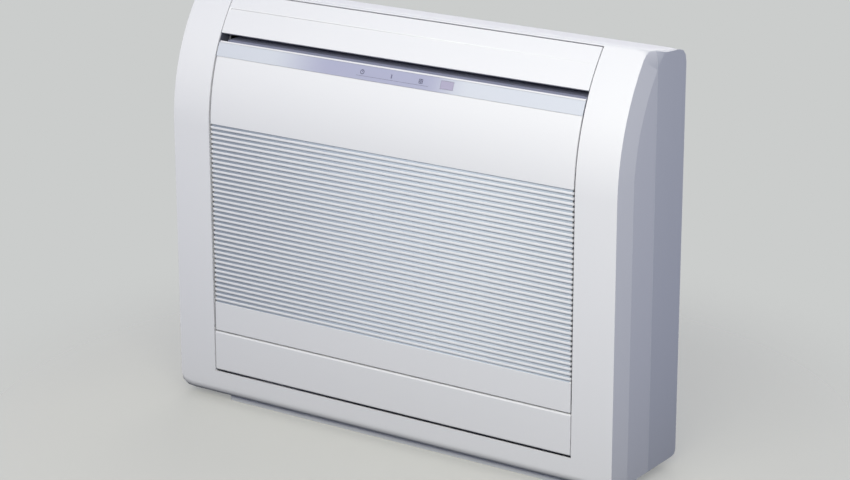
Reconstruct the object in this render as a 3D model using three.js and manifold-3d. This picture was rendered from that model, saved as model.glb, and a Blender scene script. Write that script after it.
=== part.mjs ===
// A floor standing air conditioner: a low console that stands against a wall, draws room air in
// through a slatted front panel and blows it out of an upper and a lower outlet.
// Millimetres, +Z up, front towards -Y, origin at the middle of the footprint on the floor.

import * as THREE from 'three';
import { mergeVertices } from 'three/addons/utils/BufferGeometryUtils.js';
import Module from 'manifold-3d';

const wasm = await Module();
wasm.setup();

// ---------------------------------------------------------------- driving dimensions

const WIDTH = 740;
const DEPTH = 165;
const HEIGHT = 600;

const WALL = 2.5;                 // moulded casing wall
const GAP = 0.3;                  // seat clearance between pieces that touch
const SHEET = 1.6;                // pressed steel
const DUCT_WALL = 2;

// Outline of the casing, seen from the side.
const CURVE_RADIUS = 288;         // the upper front leans back on this radius
const CURVE_START_Z = HEIGHT - 188;
const CREST_RADIUS = 7;           // between the front curve and the top
const TOP_SLOPE = 10;             // degrees that the top falls towards the wall
const REAR_CORNER_RADIUS = 20;
const TOE_RADIUS = 14;            // front bottom edge
const HEEL_RADIUS = 8;            // rear bottom edge

// Slanted band between the front face and each side.
const BEVEL_WIDTH = 5;
const BEVEL_DEPTH = 33;
const SIDE_TOP_DROP = 10;
const SIDE_TOP_SLOPE = 5;         // degrees
const SIDE_CREST_RADIUS = 12;
const SIDE_BOTTOM_RISE = 4;
const FACE_CORNER_RADIUS = 18;

// Where the casing divides.
const COLUMN_WIDTH = 68;          // each white column beside the panel
const OPENING_HALF = WIDTH / 2 - COLUMN_WIDTH;
const SIDE_SEAM = 89;             // front face to the seam down each side
const TOP_LIP_DROP = 22;          // the top cover turns this far down the back
const RETURN_DEPTH = 26;          // inner wall of each column, behind the front face
const RETURN_BACK = 72;           // where that wall stops under the top
const SEAM = 1.6;                 // gap round the panel and flaps
const TOE_STRIP_TOP = 47.5;
const CROSSBAR = { front: 12, back: 16, bottom: 104, top: 117.5 };

// Recessed plinth.
const PLINTH_HEIGHT = 10;
const PLINTH_FLANGE = 9;
const PLINTH_SIDE_INSET = 83;
const PLINTH_FRONT_INSET = 16;
const PLINTH_BACK_INSET = 14;

// Back of the casing: bracket pocket, pipe notch and stiffening grooves.
const BRACKET_Z = HEIGHT - 130;
const BRACKET_HEIGHT = 70;
const BRACKET_HALF = 165;
const BRACKET_POCKET = 4;
const BRACKET_MARGIN = 4;         // round the bracket in its pocket
const BRACKET_HOOK_X = 120;
const BRACKET_HOOK_HALF = 12;
const BRACKET_HOOK_Z = 8;
const BRACKET_HOLE_X = 140;
const BRACKET_HOLE_RADIUS = 3;
const BRACKET_HOLE_DROP = 14;
const PIPE_NOTCH_IN = 30;         // from the left side
const PIPE_NOTCH_WIDTH = 70;
const PIPE_NOTCH_HEIGHT = 55;
const REAR_GROOVE_PITCH = 95;
const REAR_GROOVE_HALF = 2;
const REAR_GROOVE_BOTTOM = 90;

// Front panel with its slatted intake.
const PANEL_BOTTOM = 112;
const PANEL_TOP = HEIGHT - 65;
const PANEL_THICK = 7;
const SLAT_COUNT = 38;
const SLAT_PITCH = 7.1;
const SLAT_FIRST_Z = 157.2;       // middle of the lowest groove
const GROOVE_HEIGHT = 3.9;
const GROOVE_DEPTH = 4.6;
const GROOVE_RISE = 1.9;          // the groove floor climbs this much towards the back
const RIB_COUNT = 3;
const RIB_WIDTH = 6;
const PANEL_SKIN_BORDER = 9;
const PANEL_AXIS_IN = 3;          // pivot behind the front face
const PANEL_AXIS_UP = 3.5;        // pivot above the panel's bottom edge
const PANEL_PIN_RADIUS = 1.5;
const PIN_REACH = 2;              // a pivot pin's length inside the column wall
const LATCH_X = 240;
const LATCH_HALF = 6;
const LATCH_THICK = 3;
const LATCH_BACK = 43;            // tip behind the front face plane
const LATCH_Z = PANEL_TOP - 9;

// Display strip along the panel's top edge.
const STRIP_BOTTOM = PANEL_TOP - 20.4;
const STRIP_TOP = PANEL_TOP - 2.2;
const STRIP_THICK = 1.5;
const STRIP_POCKET = 1.8;
const STRIP_CENTRE_Z = PANEL_TOP - 10.5;
const STRIP_END_GAP = 0.5;
const LAMP_SIZE = 5;
const LAMP_BAR_WIDTH = 1.6;
const LAMP_SPACING = 48;
const LAMP_MIDDLE_X = -2;
const WINDOW_X = 88;
const WINDOW_WIDTH = 20;
const WINDOW_HEIGHT = 11;

// Upper flap.
const UPPER_FLAP_TOP = HEIGHT - 2.5;
const UPPER_FLAP_BOTTOM = HEIGHT - 54.5;
const FLAP_GROOVE_Z = HEIGHT - 24;
const FLAP_THICK = 6;
const UPPER_AXIS_IN = 49;         // pivot behind the front face plane
const UPPER_AXIS_Z = HEIGHT - 46.5;
const FLAP_PIN_RADIUS = 2.2;
const EAR_WIDTH = 3.5;
const EAR_RADIUS = 5;
const PIN_CLEARANCE = 0.4;

// Lower flap.
const LOWER_FLAP_BOTTOM = 50.5;
const LOWER_FLAP_TOP = PANEL_BOTTOM - 2.8;
const LOWER_FLAP_ROUND = 1.5;
const LOWER_AXIS_IN = 9;
const LOWER_AXIS_Z = 55;

// Air path behind the panel, as distances back from the front face plane.
const FILTER_FRONT = 11.2;
const FILTER_THICK = 4;
const FILTER_BORDER = 9;
const FILTER_RIB = 3;
const FILTER_CELLS = 3;           // each way
const FILTER_NET = 0.8;
const COIL_FRONT = 19.5;
const COIL_THICK = 22;
const MOUTH_FRONT = COIL_FRONT + COIL_THICK + 4.5;
const MOUTH_RADIUS = 114;
const MOUTH_FLARE = 12;
const DUCT_BACK = DEPTH - 12.5;
const DUCT_HALF = OPENING_HALF - 9.5;
const COIL_HALF = DUCT_HALF - 18;
const COIL_BOTTOM = 122;
const COIL_TOP = HEIGHT - 152;
const FIN_COUNT = 26;
const FIN_GROOVE = 2.2;
const TUBE_RADIUS = 3.5;
const TUBE_ROWS = 5;
const BEND_REACH = 13;
const BEND_LIFT = 6;
const BEND_IN = 6.5;              // a bend's ends are this far inside the coil's faces
const PAN_BOTTOM = 118;
const PAN_TOP = 138;
const PAN_FLOOR = 4;
const PAN_WALL = 2;
const SPOUT_RADIUS = 7;
const DRAIN_RADIUS = 5;
const SPOUT_LENGTH = 14;
const SPOUT_IN = 12;              // spout from the pan's left end

// Scroll duct.
const DUCT_BOTTOM = 41;
const DUCT_TOP = HEIGHT - 8;
const DUCT_FLOOR_FRONT = 19.5;
const DUCT_ROOF_FRONT = 77;
const DUCT_LOW_RADIUS = 60;
const DUCT_TOP_RADIUS = DUCT_BACK - DUCT_ROOF_FRONT - 5.5;
const DUCT_CHEEK = { foot: 119.5, step: 40, lip: 68, lipDrop: 17 };
const DUCT_BOSS_RADIUS = 8;
const DUCT_BOSS_X = 230;
const DUCT_BOSS_Z = [150, 400];

// Refrigerant pipes: radius, start behind the front face, start height, distance in from the left
// side of the casing where it drops, and the end's distance from the back.
const GAS_PIPE = { radius: 4.75, start: COIL_FRONT + 13.5, z: 196, inset: 36, end: 32 };
const LIQUID_PIPE = { radius: 3.2, start: COIL_FRONT + 18.5, z: 166, inset: 60, end: 50 };
const PIPE_GAP = { back: 50, bottom: 155, top: 210 };
const PIPE_ELBOW_Z = 110;
const PIPE_LOW_Z = 62;
const PIPE_END_Z = 40;
const FLARE_NUT_LENGTH = 18;
const FLARE_NUT_RATIO = 1.9;      // nut radius to pipe radius

// Turbo fan and its motor.
const MOTOR_RADIUS = 48;
const MOTOR_BACK = DUCT_BACK - 18.5;
const MOTOR_FRONT = MOTOR_BACK - 46;
const MOTOR_FLANGE = 5;
const FAN_Z = 320;
const FAN_RADIUS = 150;
const FAN_FRONT = MOUTH_FRONT + 10;
const FAN_DISC = MOTOR_FRONT + 23;
const FAN_DISC_THICK = 2.5;
const FAN_EYE_RADIUS = 118;
const SHROUD_FLARE = 15;
const SHROUD_WALL = 2;
const SHROUD_SKIRT = 5;
const FAN_BLADES = 7;
const FAN_SIDES = 30;
const BLADE_INNER = 86;
const BLADE_SWEEP = 46;           // degrees that a blade leans back
const BLADE_THICK = 7;
const HUB_RADIUS = 58;
const HUB_COLLAR = 14;            // collar and dome ahead of the motor
const HUB_DOME = 7;
const SHAFT_RADIUS = 4;
const SHAFT_CLEARANCE = 0.6;
const SHAFT_OUT = 22;             // ahead of the motor
const SHAFT_IN = 11.7;            // inside the motor
const NUT_RADIUS = 8;
const NUT_THICK = 6;
const BRACKET_RING = 10;          // bracket ring beyond the motor
const BRACKET_ARM_X = 92;
const BRACKET_ARM_Z = 62;
const BRACKET_LEG_HALF = 6;
const BRACKET_VENT_RADIUS = 20;

// Louvre blades in the upper outlet.
const RAIL_TOP = HEIGHT - 65.7;
const RAIL_THICK = 2.8;
const RAIL_FRONT = 41;
const RAIL_BACK = 100;
const RAIL_LIP = 6;
const VANE_COUNT = 5;             // in each half
const VANE_FIRST_X = 36;
const VANE_PITCH = 52;
const VANE_BACK = 80.5;           // pivot behind the front face plane
const VANE_CHORD = 26;
const VANE_BOTTOM = HEIGHT - 61;
const VANE_TOP = HEIGHT - 24;
const VANE_NOSE = 12;             // cut off the front top corner
const VANE_THICK = 1.4;
const VANE_PIN_RADIUS = 1.5;
const LINK_ARM = 11;              // link pin behind the pivot
const LINK_PIN_RADIUS = 1;
const LINK_BORE_CLEARANCE = 0.35;
const LINK_WIDTH = 5;
const LINK_THICK = 2;
const LINK_Z = HEIGHT - 64.4;

// Control box, with the parts on its board placed from the box's front bottom corner.
const BOX_WIDTH = WIDTH / 2 - DUCT_HALF - DUCT_WALL - GAP - 17;
const BOX_BOTTOM = HEIGHT - 390;
const BOX_HEIGHT = 250;
const BOX_FRONT = 34;
const BOX_DEPTH = 84;
const BOX_VENT_PITCH = 12;
const BOX_VENT_WIDTH = 4;
const BOX_SCREW_IN = 12;
const BOARD_STAND = 6;            // board off the box's wall
const BOARD_BOTTOM = 76;
const BOARD_FEET_Z = [86, 234];
const TRANSFORMER = { stands: 26, y: [12, 40], z: [200, 232] };
const RELAY = { stands: 16, y: [50, 68], z: [190, 214] };
const CHIP = { stands: 9, y: [14, 44], z: [140, 168] };
const LARGE_CAPACITOR = { stands: 32, radius: 9, y: 60, z: 160 };
const SMALL_CAPACITOR = { stands: 24, radius: 6, y: 24, z: 108 };
const TERMINALS = { count: 4, pitch: 12, well: 8, stands: 20, y: [16, 48], z: [12, 64] };

// Lamp board behind the display strip, and the manual run button beside it.
const CASE_LEFT = -72;
const CASE_RIGHT = 118;
const CASE_FRONT = 34.5;
const CASE_BACK = MOUTH_FRONT - 0.5;
const CASE_BOTTOM = HEIGHT - 90.5;
const CASE_TOP = HEIGHT - 72;
const CASE_WALL = 2;
const CASE_BUTTON_END = 26;       // the solid end that guides the button
const BUTTON_RADIUS = 4;
const BUTTON_LENGTH = 8;
const BUTTON_PROUD = 2.4;
const BUTTON_X = 104;
const BUTTON_Z = HEIGHT - 81.2;

// Intake air sensor.
const SENSOR_Y = 19;
const SENSOR_BOTTOM = 164;
const SENSOR_TOP = 194;
const SENSOR_RADIUS = 2.5;

// Flap stepping motors.
const STEPPER_RADIUS = 13.5;
const STEPPER_LENGTH = 18;
const STEPPER_OFFSET = 8;         // the output pin is off the can's middle
const STEPPER_LUG_HALF = 4;
const STEPPER_LUG_DROP = 6;
const UPPER_STEPPER_LEAN = -40;   // degrees

// Screws.
const SCREW_RADIUS = 1.9;
const SCREW_HEAD = 3.8;
const SCREW_HEAD_HEIGHT = 2.4;
const CASING_SCREW_LENGTH = 9;
const COVER_SCREW_LENGTH = 8;
const CASING_SCREW_X = 200;
const CASING_SCREW_Z = 112;

// ---------------------------------------------------------------- worked out from them

const FRONT_Y = -DEPTH / 2;
const BACK_Y = DEPTH / 2;
const HALF = WIDTH / 2;
const PANEL_HALF = OPENING_HALF - SEAM;
const FACE_HALF = HALF - BEVEL_WIDTH;
const SEAM_Y = FRONT_Y + SIDE_SEAM;
const PANEL_AXIS = { y: FRONT_Y + PANEL_AXIS_IN, z: PANEL_BOTTOM + PANEL_AXIS_UP };
const UPPER_AXIS = { y: FRONT_Y + UPPER_AXIS_IN, z: UPPER_AXIS_Z };
const LOWER_AXIS = { y: FRONT_Y + LOWER_AXIS_IN, z: LOWER_AXIS_Z };
const DUCT_BACK_Y = FRONT_Y + DUCT_BACK;
const BOX_X = DUCT_HALF + DUCT_WALL + GAP;
const BOX_FRONT_Y = FRONT_Y + BOX_FRONT;
const COVER_SCREW_Z = [BOX_BOTTOM + BOX_SCREW_IN, BOX_BOTTOM + BOX_HEIGHT - BOX_SCREW_IN];
const VANE_Y = FRONT_Y + VANE_BACK;
const FAR = 1000;                 // reaches past every solid in a cut

const deg = THREE.MathUtils.degToRad;
const toDegrees = THREE.MathUtils.radToDeg;

// ---------------------------------------------------------------- solids and placing

function solid(geometry) {
  const bare = new THREE.BufferGeometry();
  bare.setAttribute('position', geometry.getAttribute('position').clone());
  if (geometry.index) bare.setIndex(geometry.index.clone());
  const merged = mergeVertices(bare, 1e-4);
  const index = merged.index.array;
  const triangles = [];
  for (let i = 0; i < index.length; i += 3) {
    const [a, b, c] = [index[i], index[i + 1], index[i + 2]];
    if (a !== b && b !== c && c !== a) triangles.push(a, b, c);
  }
  return new wasm.Manifold(new wasm.Mesh({
    numProp: 3,
    vertProperties: Float32Array.from(merged.getAttribute('position').array),
    triVerts: Uint32Array.from(triangles),
  }));
}

function geometryOf(manifold) {
  const mesh = manifold.getMesh();
  const geometry = new THREE.BufferGeometry();
  geometry.setAttribute('position', new THREE.BufferAttribute(mesh.vertProperties.slice(), 3));
  geometry.setIndex(new THREE.BufferAttribute(mesh.triVerts.slice(), 1));
  geometry.computeVertexNormals();
  return geometry;
}

const join = (solids) => solids.reduce((sum, next) => sum.add(next));
const cut = (body, tools) => tools.reduce((left, tool) => left.subtract(tool), body);

function placed(geometry, matrix) {
  return solid(geometry.applyMatrix4(matrix));
}

function block(x0, x1, y0, y1, z0, z1) {
  const geometry = new THREE.BoxGeometry(x1 - x0, y1 - y0, z1 - z0);
  return solid(geometry.translate((x0 + x1) / 2, (y0 + y1) / 2, (z0 + z1) / 2));
}

const X = new THREE.Vector3(1, 0, 0);
const Y = new THREE.Vector3(0, 1, 0);
const Z = new THREE.Vector3(0, 0, 1);

// A [y, z] outline pushed along X from x0 to x1.
function alongX(points, x0, x1) {
  const shape = new THREE.Shape(points.map(([y, z]) => new THREE.Vector2(y, z)));
  const geometry = new THREE.ExtrudeGeometry(shape, { depth: x1 - x0, bevelEnabled: false });
  return placed(geometry, new THREE.Matrix4().makeBasis(Y, Z, X).setPosition(x0, 0, 0));
}

// An [x, z] outline pushed along Y from y0 to y1.
function alongY(points, y0, y1) {
  const shape = new THREE.Shape(points.map(([x, z]) => new THREE.Vector2(x, z)));
  const geometry = new THREE.ExtrudeGeometry(shape, { depth: y1 - y0, bevelEnabled: false });
  return placed(geometry, new THREE.Matrix4().makeBasis(X, Z, Y.clone().negate()).setPosition(0, y1, 0));
}

function rod(axis, radius, from, to, at, sides = 12) {
  const geometry = new THREE.CylinderGeometry(radius, radius, to - from, sides);
  geometry.translate(0, (from + to) / 2, 0);
  if (axis === 'x') geometry.applyMatrix4(new THREE.Matrix4().makeBasis(Z, X, Y));
  if (axis === 'z') geometry.applyMatrix4(new THREE.Matrix4().makeBasis(Y, Z, X));
  return solid(geometry.translate(...at));
}

// Sorted ends of a span that is mirrored to either side of the middle.
const span = (side, a, b) => [Math.min(side * a, side * b), Math.max(side * a, side * b)];

// A closed [radius, y] profile turned round an axis that runs front to back.
function turned(profile, sides, x = 0, z = 0) {
  const points = profile.map(([r, y]) => new THREE.Vector2(r, y));
  if (THREE.ShapeUtils.area(points) < 0) points.reverse();
  return solid(new THREE.LatheGeometry(points, sides).translate(x, 0, z));
}

// Rings with the same number of points, joined in order and closed at both ends.
function loft(rings) {
  const count = rings[0].length;
  const positions = rings.flat().flatMap((point) => [point.x, point.y, point.z]);
  const index = [];
  for (let i = 0; i + 1 < rings.length; i++) {
    for (let j = 0; j < count; j++) {
      const k = (j + 1) % count;
      const [a, b, c, d] = [i * count + j, i * count + k, (i + 1) * count + k, (i + 1) * count + j];
      index.push(a, b, c, a, c, d);
    }
  }
  const flat = rings[0].map((point) => new THREE.Vector2(point.y, point.z));
  const last = (rings.length - 1) * count;
  const lastFlat = rings.at(-1).map((point) => new THREE.Vector2(point.y, point.z));
  for (const [a, b, c] of THREE.ShapeUtils.triangulateShape(flat, [])) index.push(a, c, b);
  for (const [a, b, c] of THREE.ShapeUtils.triangulateShape(lastFlat, [])) {
    index.push(last + a, last + b, last + c);
  }
  const geometry = new THREE.BufferGeometry();
  geometry.setAttribute('position', new THREE.Float32BufferAttribute(positions, 3));
  geometry.setIndex(index);
  return solid(geometry);
}

function sweep(path, radius, sides, steps) {
  const options = { steps, bevelEnabled: false, extrudePath: path };
  return solid(new THREE.ExtrudeGeometry(circle(radius, sides), options));
}

const arc = (cy, cz, radius, from, to, steps) => {
  const points = [];
  for (let i = 0; i <= steps; i++) {
    const angle = deg(from + (to - from) * i / steps);
    points.push([cy + radius * Math.cos(angle), cz + radius * Math.sin(angle)]);
  }
  return points;
};

// ---------------------------------------------------------------- outline of the casing

// Distance back from the front face plane at a height, on a surface `inset` behind the skin.
function frontAt(z, inset = 0) {
  const rise = Math.max(0, z - CURVE_START_Z);
  const radius = CURVE_RADIUS - inset;
  return FRONT_Y + CURVE_RADIUS - Math.sqrt(radius * radius - rise * rise);
}

// The casing's closed [y, z] outline. Every call gives the same number of points.
function outline({ front = 0, top = 0, bottom = 0, rear = 0, crest = CREST_RADIUS,
  toe = TOE_RADIUS, slope = TOP_SLOPE }) {
  const centreY = FRONT_Y + CURVE_RADIUS;
  const radius = CURVE_RADIUS - front;
  const crestZ = HEIGHT - top - crest;
  const lean = Math.asin((crestZ - CURVE_START_Z) / (radius - crest));
  const crestY = centreY - (radius - crest) * Math.cos(lean);
  const leanDeg = toDegrees(lean);
  const backY = BACK_Y - rear;
  const frontY = FRONT_Y + front;
  const floorZ = PLINTH_HEIGHT + bottom;
  const heel = Math.max(HEEL_RADIUS - rear, 1);
  const corner = Math.max(REAR_CORNER_RADIUS - rear, 1);
  const cornerY = backY - corner;
  const lineZ = (y) => crestZ + crest / Math.cos(deg(slope)) - (y - crestY) * Math.tan(deg(slope));
  const cornerZ = lineZ(cornerY) - corner / Math.cos(deg(slope));
  return [
    ...arc(backY - heel, floorZ + heel, heel, 0, -90, 2),
    ...arc(frontY + toe, floorZ + toe, toe, -90, -180, 3),
    ...arc(centreY, CURVE_START_Z, radius, 180, 180 - leanDeg, 9),
    ...arc(crestY, crestZ, crest, 180 - leanDeg, 90 - slope, 3).slice(1),
    ...arc(cornerY, cornerZ, corner, 90 - slope, 0, 3),
  ].reverse();
}

// The casing's outer form, or the hollow inside it when `inset` is the wall.
function casingForm(inset = 0) {
  const drop = (t) => FACE_CORNER_RADIUS * (1 - Math.cos(t));
  const stations = [];
  for (const t of [deg(90), deg(45), 0]) {
    const x = FACE_HALF - inset - FACE_CORNER_RADIUS * (1 - Math.sin(t));
    const fall = drop(t);
    stations.push({ x, crest: CREST_RADIUS + fall * 0.9, toe: TOE_RADIUS + fall * 0.5, top: fall * 0.15 });
  }
  const side = { x: HALF - inset, front: BEVEL_DEPTH, top: SIDE_TOP_DROP, bottom: SIDE_BOTTOM_RISE,
    crest: SIDE_CREST_RADIUS, slope: SIDE_TOP_SLOPE };
  const ring = ({ x, front = 0, top = 0, bottom = 0, crest = CREST_RADIUS, toe = TOE_RADIUS,
    slope = TOP_SLOPE }, sign) => outline({
    front: front + inset, top: top + inset, bottom: bottom + inset, rear: inset, slope,
    crest: Math.max(crest - inset, 1), toe: Math.max(toe - inset, 1),
  }).map(([y, z]) => new THREE.Vector3(sign * x, y, z));
  const right = [...stations.reverse(), side];
  const rings = [...right.map((s) => ring(s, 1)).reverse(), ...right.map((s) => ring(s, -1))].reverse();
  return loft(rings);
}

// The [y, z] point that lies `depth` straight behind the front skin at a height.
function behindSkin(z, depth) {
  const lean = Math.asin(Math.max(0, z - CURVE_START_Z) / CURVE_RADIUS);
  return [frontAt(z) + depth * Math.cos(lean), z - depth * Math.sin(lean)];
}

// A sheet that follows the front skin between two heights, from `outer` to `inner` behind it.
function skin(bottom, top, outer, inner, x0, x1, steps = 14) {
  const heights = [bottom];
  if (bottom < CURVE_START_Z && top > CURVE_START_Z) heights.push(CURVE_START_Z);
  const from = heights.at(-1);
  for (let i = 1; i <= steps; i++) heights.push(from + (top - from) * i / steps);
  const outside = heights.map((z) => behindSkin(z, outer));
  const inside = heights.map((z) => behindSkin(z, inner));
  return alongX([...outside.reverse(), ...inside], x0, x1);
}

// ---------------------------------------------------------------- casing

const outer = casingForm();
const hollow = casingForm(WALL);

// Everything behind the side seam, except the top cover and its lip down the back.
function rearRegion(grow) {
  const front = SEAM_Y - grow;
  const half = FACE_HALF - grow;
  return join([
    block(-FAR, FAR, front, FAR, -FAR, HEIGHT - TOP_LIP_DROP + grow),
    block(-FAR, -half, front, FAR, -FAR, FAR),
    block(half, FAR, front, FAR, -FAR, FAR),
  ]);
}

// The inner wall of one column, shaped like the casing's outline and open at the back.
function columnReturn(side) {
  const [x0, x1] = span(side, OPENING_HALF, OPENING_HALF + WALL);
  const inWall = WALL / 2;
  const slab = outline({ front: inWall, top: inWall, bottom: inWall, rear: inWall, crest: 5, toe: 12 });
  const deep = outline({ front: RETURN_DEPTH, top: RETURN_DEPTH, bottom: RETURN_DEPTH, rear: RETURN_DEPTH,
    crest: 1, toe: 1 });
  return cut(alongX(slab, x0, x1), [
    alongX(deep, x0 - 1, x1 + 1),
    block(-FAR, FAR, FRONT_Y + RETURN_DEPTH, FAR, 0, HEIGHT / 2),
    block(-FAR, FAR, FRONT_Y + RETURN_BACK, FAR, 0, FAR),
  ]);
}

// The window between the columns, from the toe strip up to the top edge of the upper flap.
function frontOpening() {
  const lean = Math.asin((UPPER_FLAP_TOP - CURVE_START_Z) / CURVE_RADIUS);
  const [seamY, seamZ] = [frontAt(UPPER_FLAP_TOP), UPPER_FLAP_TOP];
  const inward = [Math.cos(lean), -Math.sin(lean)];
  const [deep, out] = [30, 60];
  const backY = FRONT_Y + SIDE_SEAM / 2;
  return alongX([
    [FRONT_Y - out, TOE_STRIP_TOP], [backY, TOE_STRIP_TOP], [backY, UPPER_FLAP_BOTTOM],
    [seamY + deep * inward[0], seamZ + deep * inward[1]],
    [seamY, seamZ], [seamY - out * inward[0], seamZ - out * inward[1]], [FRONT_Y - out, seamZ + out],
  ], -OPENING_HALF, OPENING_HALF);
}

function frontCasing() {
  const shell = cut(outer, [hollow, rearRegion(GAP)]);
  const bar = block(-OPENING_HALF - 1, OPENING_HALF + 1, FRONT_Y + CROSSBAR.front, FRONT_Y + CROSSBAR.back,
    CROSSBAR.bottom, CROSSBAR.top);
  const bores = [];
  const axes = [[PANEL_AXIS, PANEL_PIN_RADIUS], [UPPER_AXIS, FLAP_PIN_RADIUS], [LOWER_AXIS, FLAP_PIN_RADIUS]];
  for (const [axis, radius] of axes) {
    for (const side of [-1, 1]) {
      const [x0, x1] = span(side, OPENING_HALF - 0.5, OPENING_HALF + WALL + 0.5);
      bores.push(rod('x', radius + PIN_CLEARANCE, x0, x1, [0, axis.y, axis.z], 12));
    }
  }
  const screwHoles = [-1, 1].map((side) => rod('y', SCREW_RADIUS + GAP, FRONT_Y, FRONT_Y + CROSSBAR.back + 1,
    [side * CASING_SCREW_X, 0, CASING_SCREW_Z]));
  const body = cut(join([shell, columnReturn(-1), columnReturn(1)]), [frontOpening()]);
  return cut(join([body, bar]), [...bores, ...screwHoles]);
}

function rearCasing() {
  const pocketBack = BACK_Y - BRACKET_POCKET;
  const low = BRACKET_Z - BRACKET_HEIGHT / 2 - BRACKET_MARGIN;
  const high = BRACKET_Z + BRACKET_HEIGHT / 2 + BRACKET_MARGIN;
  const half = BRACKET_HALF + BRACKET_MARGIN;
  const pocket = block(-half, half, pocketBack, FAR, low, high);
  const pocketWall = block(-half - WALL, half + WALL, pocketBack - WALL, BACK_Y, low - WALL, high + WALL);
  const notchLeft = -HALF + PIPE_NOTCH_IN;
  const notch = block(notchLeft, notchLeft + PIPE_NOTCH_WIDTH, BACK_Y - 30, FAR, -FAR, PIPE_NOTCH_HEIGHT);
  const grooveTop = BRACKET_Z - BRACKET_HEIGHT;
  const grooves = [-2, -1, 0, 1, 2].map((i) => i * REAR_GROOVE_PITCH).map((x) => block(
    x - REAR_GROOVE_HALF, x + REAR_GROOVE_HALF, BACK_Y - 1, FAR, REAR_GROOVE_BOTTOM, grooveTop));
  const shell = cut(outer, [hollow]).intersect(rearRegion(0));
  return cut(join([shell, pocketWall]), [pocket, notch, ...grooves]);
}

function plinth() {
  const half = HALF - PLINTH_SIDE_INSET;
  const front = FRONT_Y + PLINTH_FRONT_INSET;
  const back = BACK_Y - PLINTH_BACK_INSET;
  const top = PLINTH_HEIGHT - GAP;
  const tray = block(-half, half, front, back, 0, top);
  const inside = block(-half + PLINTH_FLANGE, half - PLINTH_FLANGE, front + PLINTH_FLANGE,
    back - PLINTH_FLANGE, -1, top - WALL);
  return cut(tray, [inside]);
}

// ---------------------------------------------------------------- front panel

function grooveTool(z) {
  const climb = GROOVE_RISE / GROOVE_DEPTH;
  const low = z - GROOVE_HEIGHT / 2;
  const high = z + GROOVE_HEIGHT / 2;
  return alongX([
    [FRONT_Y - 5, low - 5 * climb], [FRONT_Y + GROOVE_DEPTH, low + GROOVE_RISE],
    [FRONT_Y + GROOVE_DEPTH, high - 0.25], [FRONT_Y - 5, high],
  ], -PANEL_HALF - 5, PANEL_HALF + 5);
}

function frontPanel() {
  const body = skin(PANEL_BOTTOM, PANEL_TOP, 0, PANEL_THICK, -PANEL_HALF, PANEL_HALF);
  const slatsBottom = SLAT_FIRST_Z - SLAT_PITCH / 2;
  const slatsTop = SLAT_FIRST_Z + (SLAT_COUNT - 0.5) * SLAT_PITCH;
  const slatted = 2 * (PANEL_HALF - PANEL_SKIN_BORDER);
  const bay = (slatted - RIB_COUNT * RIB_WIDTH) / (RIB_COUNT + 1);
  const windows = [];
  for (let i = 0; i <= RIB_COUNT; i++) {
    const x = -PANEL_HALF + PANEL_SKIN_BORDER + i * (bay + RIB_WIDTH);
    windows.push(block(x, x + bay, FRONT_Y + GROOVE_DEPTH, FRONT_Y + 20, slatsBottom, slatsTop));
  }
  const grooves = [];
  for (let i = 0; i < SLAT_COUNT; i++) grooves.push(grooveTool(SLAT_FIRST_Z + i * SLAT_PITCH));
  const stripPocket = skin(STRIP_BOTTOM - GAP, STRIP_TOP + GAP, -3, STRIP_POCKET,
    -PANEL_HALF - 5, PANEL_HALF + 5, 3);
  const pins = [-1, 1].map((side) => rod('x', PANEL_PIN_RADIUS,
    ...span(side, PANEL_HALF - 3, OPENING_HALF + PIN_REACH), [0, PANEL_AXIS.y, PANEL_AXIS.z]));
  const latchFront = frontAt(LATCH_Z) + PANEL_THICK - 1;
  const latches = [-1, 1].map((side) => block(side * LATCH_X - LATCH_HALF, side * LATCH_X + LATCH_HALF,
    latchFront, FRONT_Y + LATCH_BACK, LATCH_Z - LATCH_THICK / 2, LATCH_Z + LATCH_THICK / 2));
  return join([cut(body, [...windows, ...grooves, stripPocket]), ...pins, ...latches]);
}

// Frame of the display strip: x across, y up the skin, z out of it.
const stripLean = Math.asin((STRIP_CENTRE_Z - CURVE_START_Z) / CURVE_RADIUS);
const stripPlace = (x) => new THREE.Matrix4()
  .makeTranslation(x, frontAt(STRIP_CENTRE_Z), STRIP_CENTRE_Z)
  .multiply(new THREE.Matrix4().makeRotationX(Math.PI / 2 - stripLean));

function inlay(shape, x, grow = 0, depth = STRIP_THICK - 0.05) {
  const geometry = new THREE.ExtrudeGeometry(shape(grow), { depth, bevelEnabled: false, curveSegments: 10 });
  return placed(geometry.translate(0, 0, -depth), stripPlace(x));
}

const circle = (radius, sides) => new THREE.Shape(
  new THREE.EllipseCurve(0, 0, radius, radius, 0, 2 * Math.PI).getPoints(sides).slice(0, sides));
const disc = (grow) => circle(LAMP_SIZE / 2 + grow, 16);
const rectangle = (width, height) => (grow) => {
  const [w, h] = [width / 2 + grow, height / 2 + grow];
  return new THREE.Shape([[-w, -h], [w, -h], [w, h], [-w, h]].map(([a, b]) => new THREE.Vector2(a, b)));
};
const inlays = {
  timer_lamp: [disc, LAMP_MIDDLE_X - LAMP_SPACING],
  operation_lamp: [rectangle(LAMP_BAR_WIDTH, LAMP_SIZE), LAMP_MIDDLE_X],
  filter_lamp: [rectangle(LAMP_SIZE, LAMP_SIZE), LAMP_MIDDLE_X + LAMP_SPACING],
  receiver_window: [rectangle(WINDOW_WIDTH, WINDOW_HEIGHT), WINDOW_X],
};

function displayStrip() {
  const half = PANEL_HALF - STRIP_END_GAP;
  const band = skin(STRIP_BOTTOM, STRIP_TOP, 0, STRIP_THICK, -half, half, 3);
  return cut(band, Object.values(inlays).map(([shape, x]) => {
    const tool = new THREE.ExtrudeGeometry(shape(GAP), { depth: 8, bevelEnabled: false });
    return placed(tool.translate(0, 0, -4), stripPlace(x));
  }));
}

// ---------------------------------------------------------------- flaps

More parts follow.
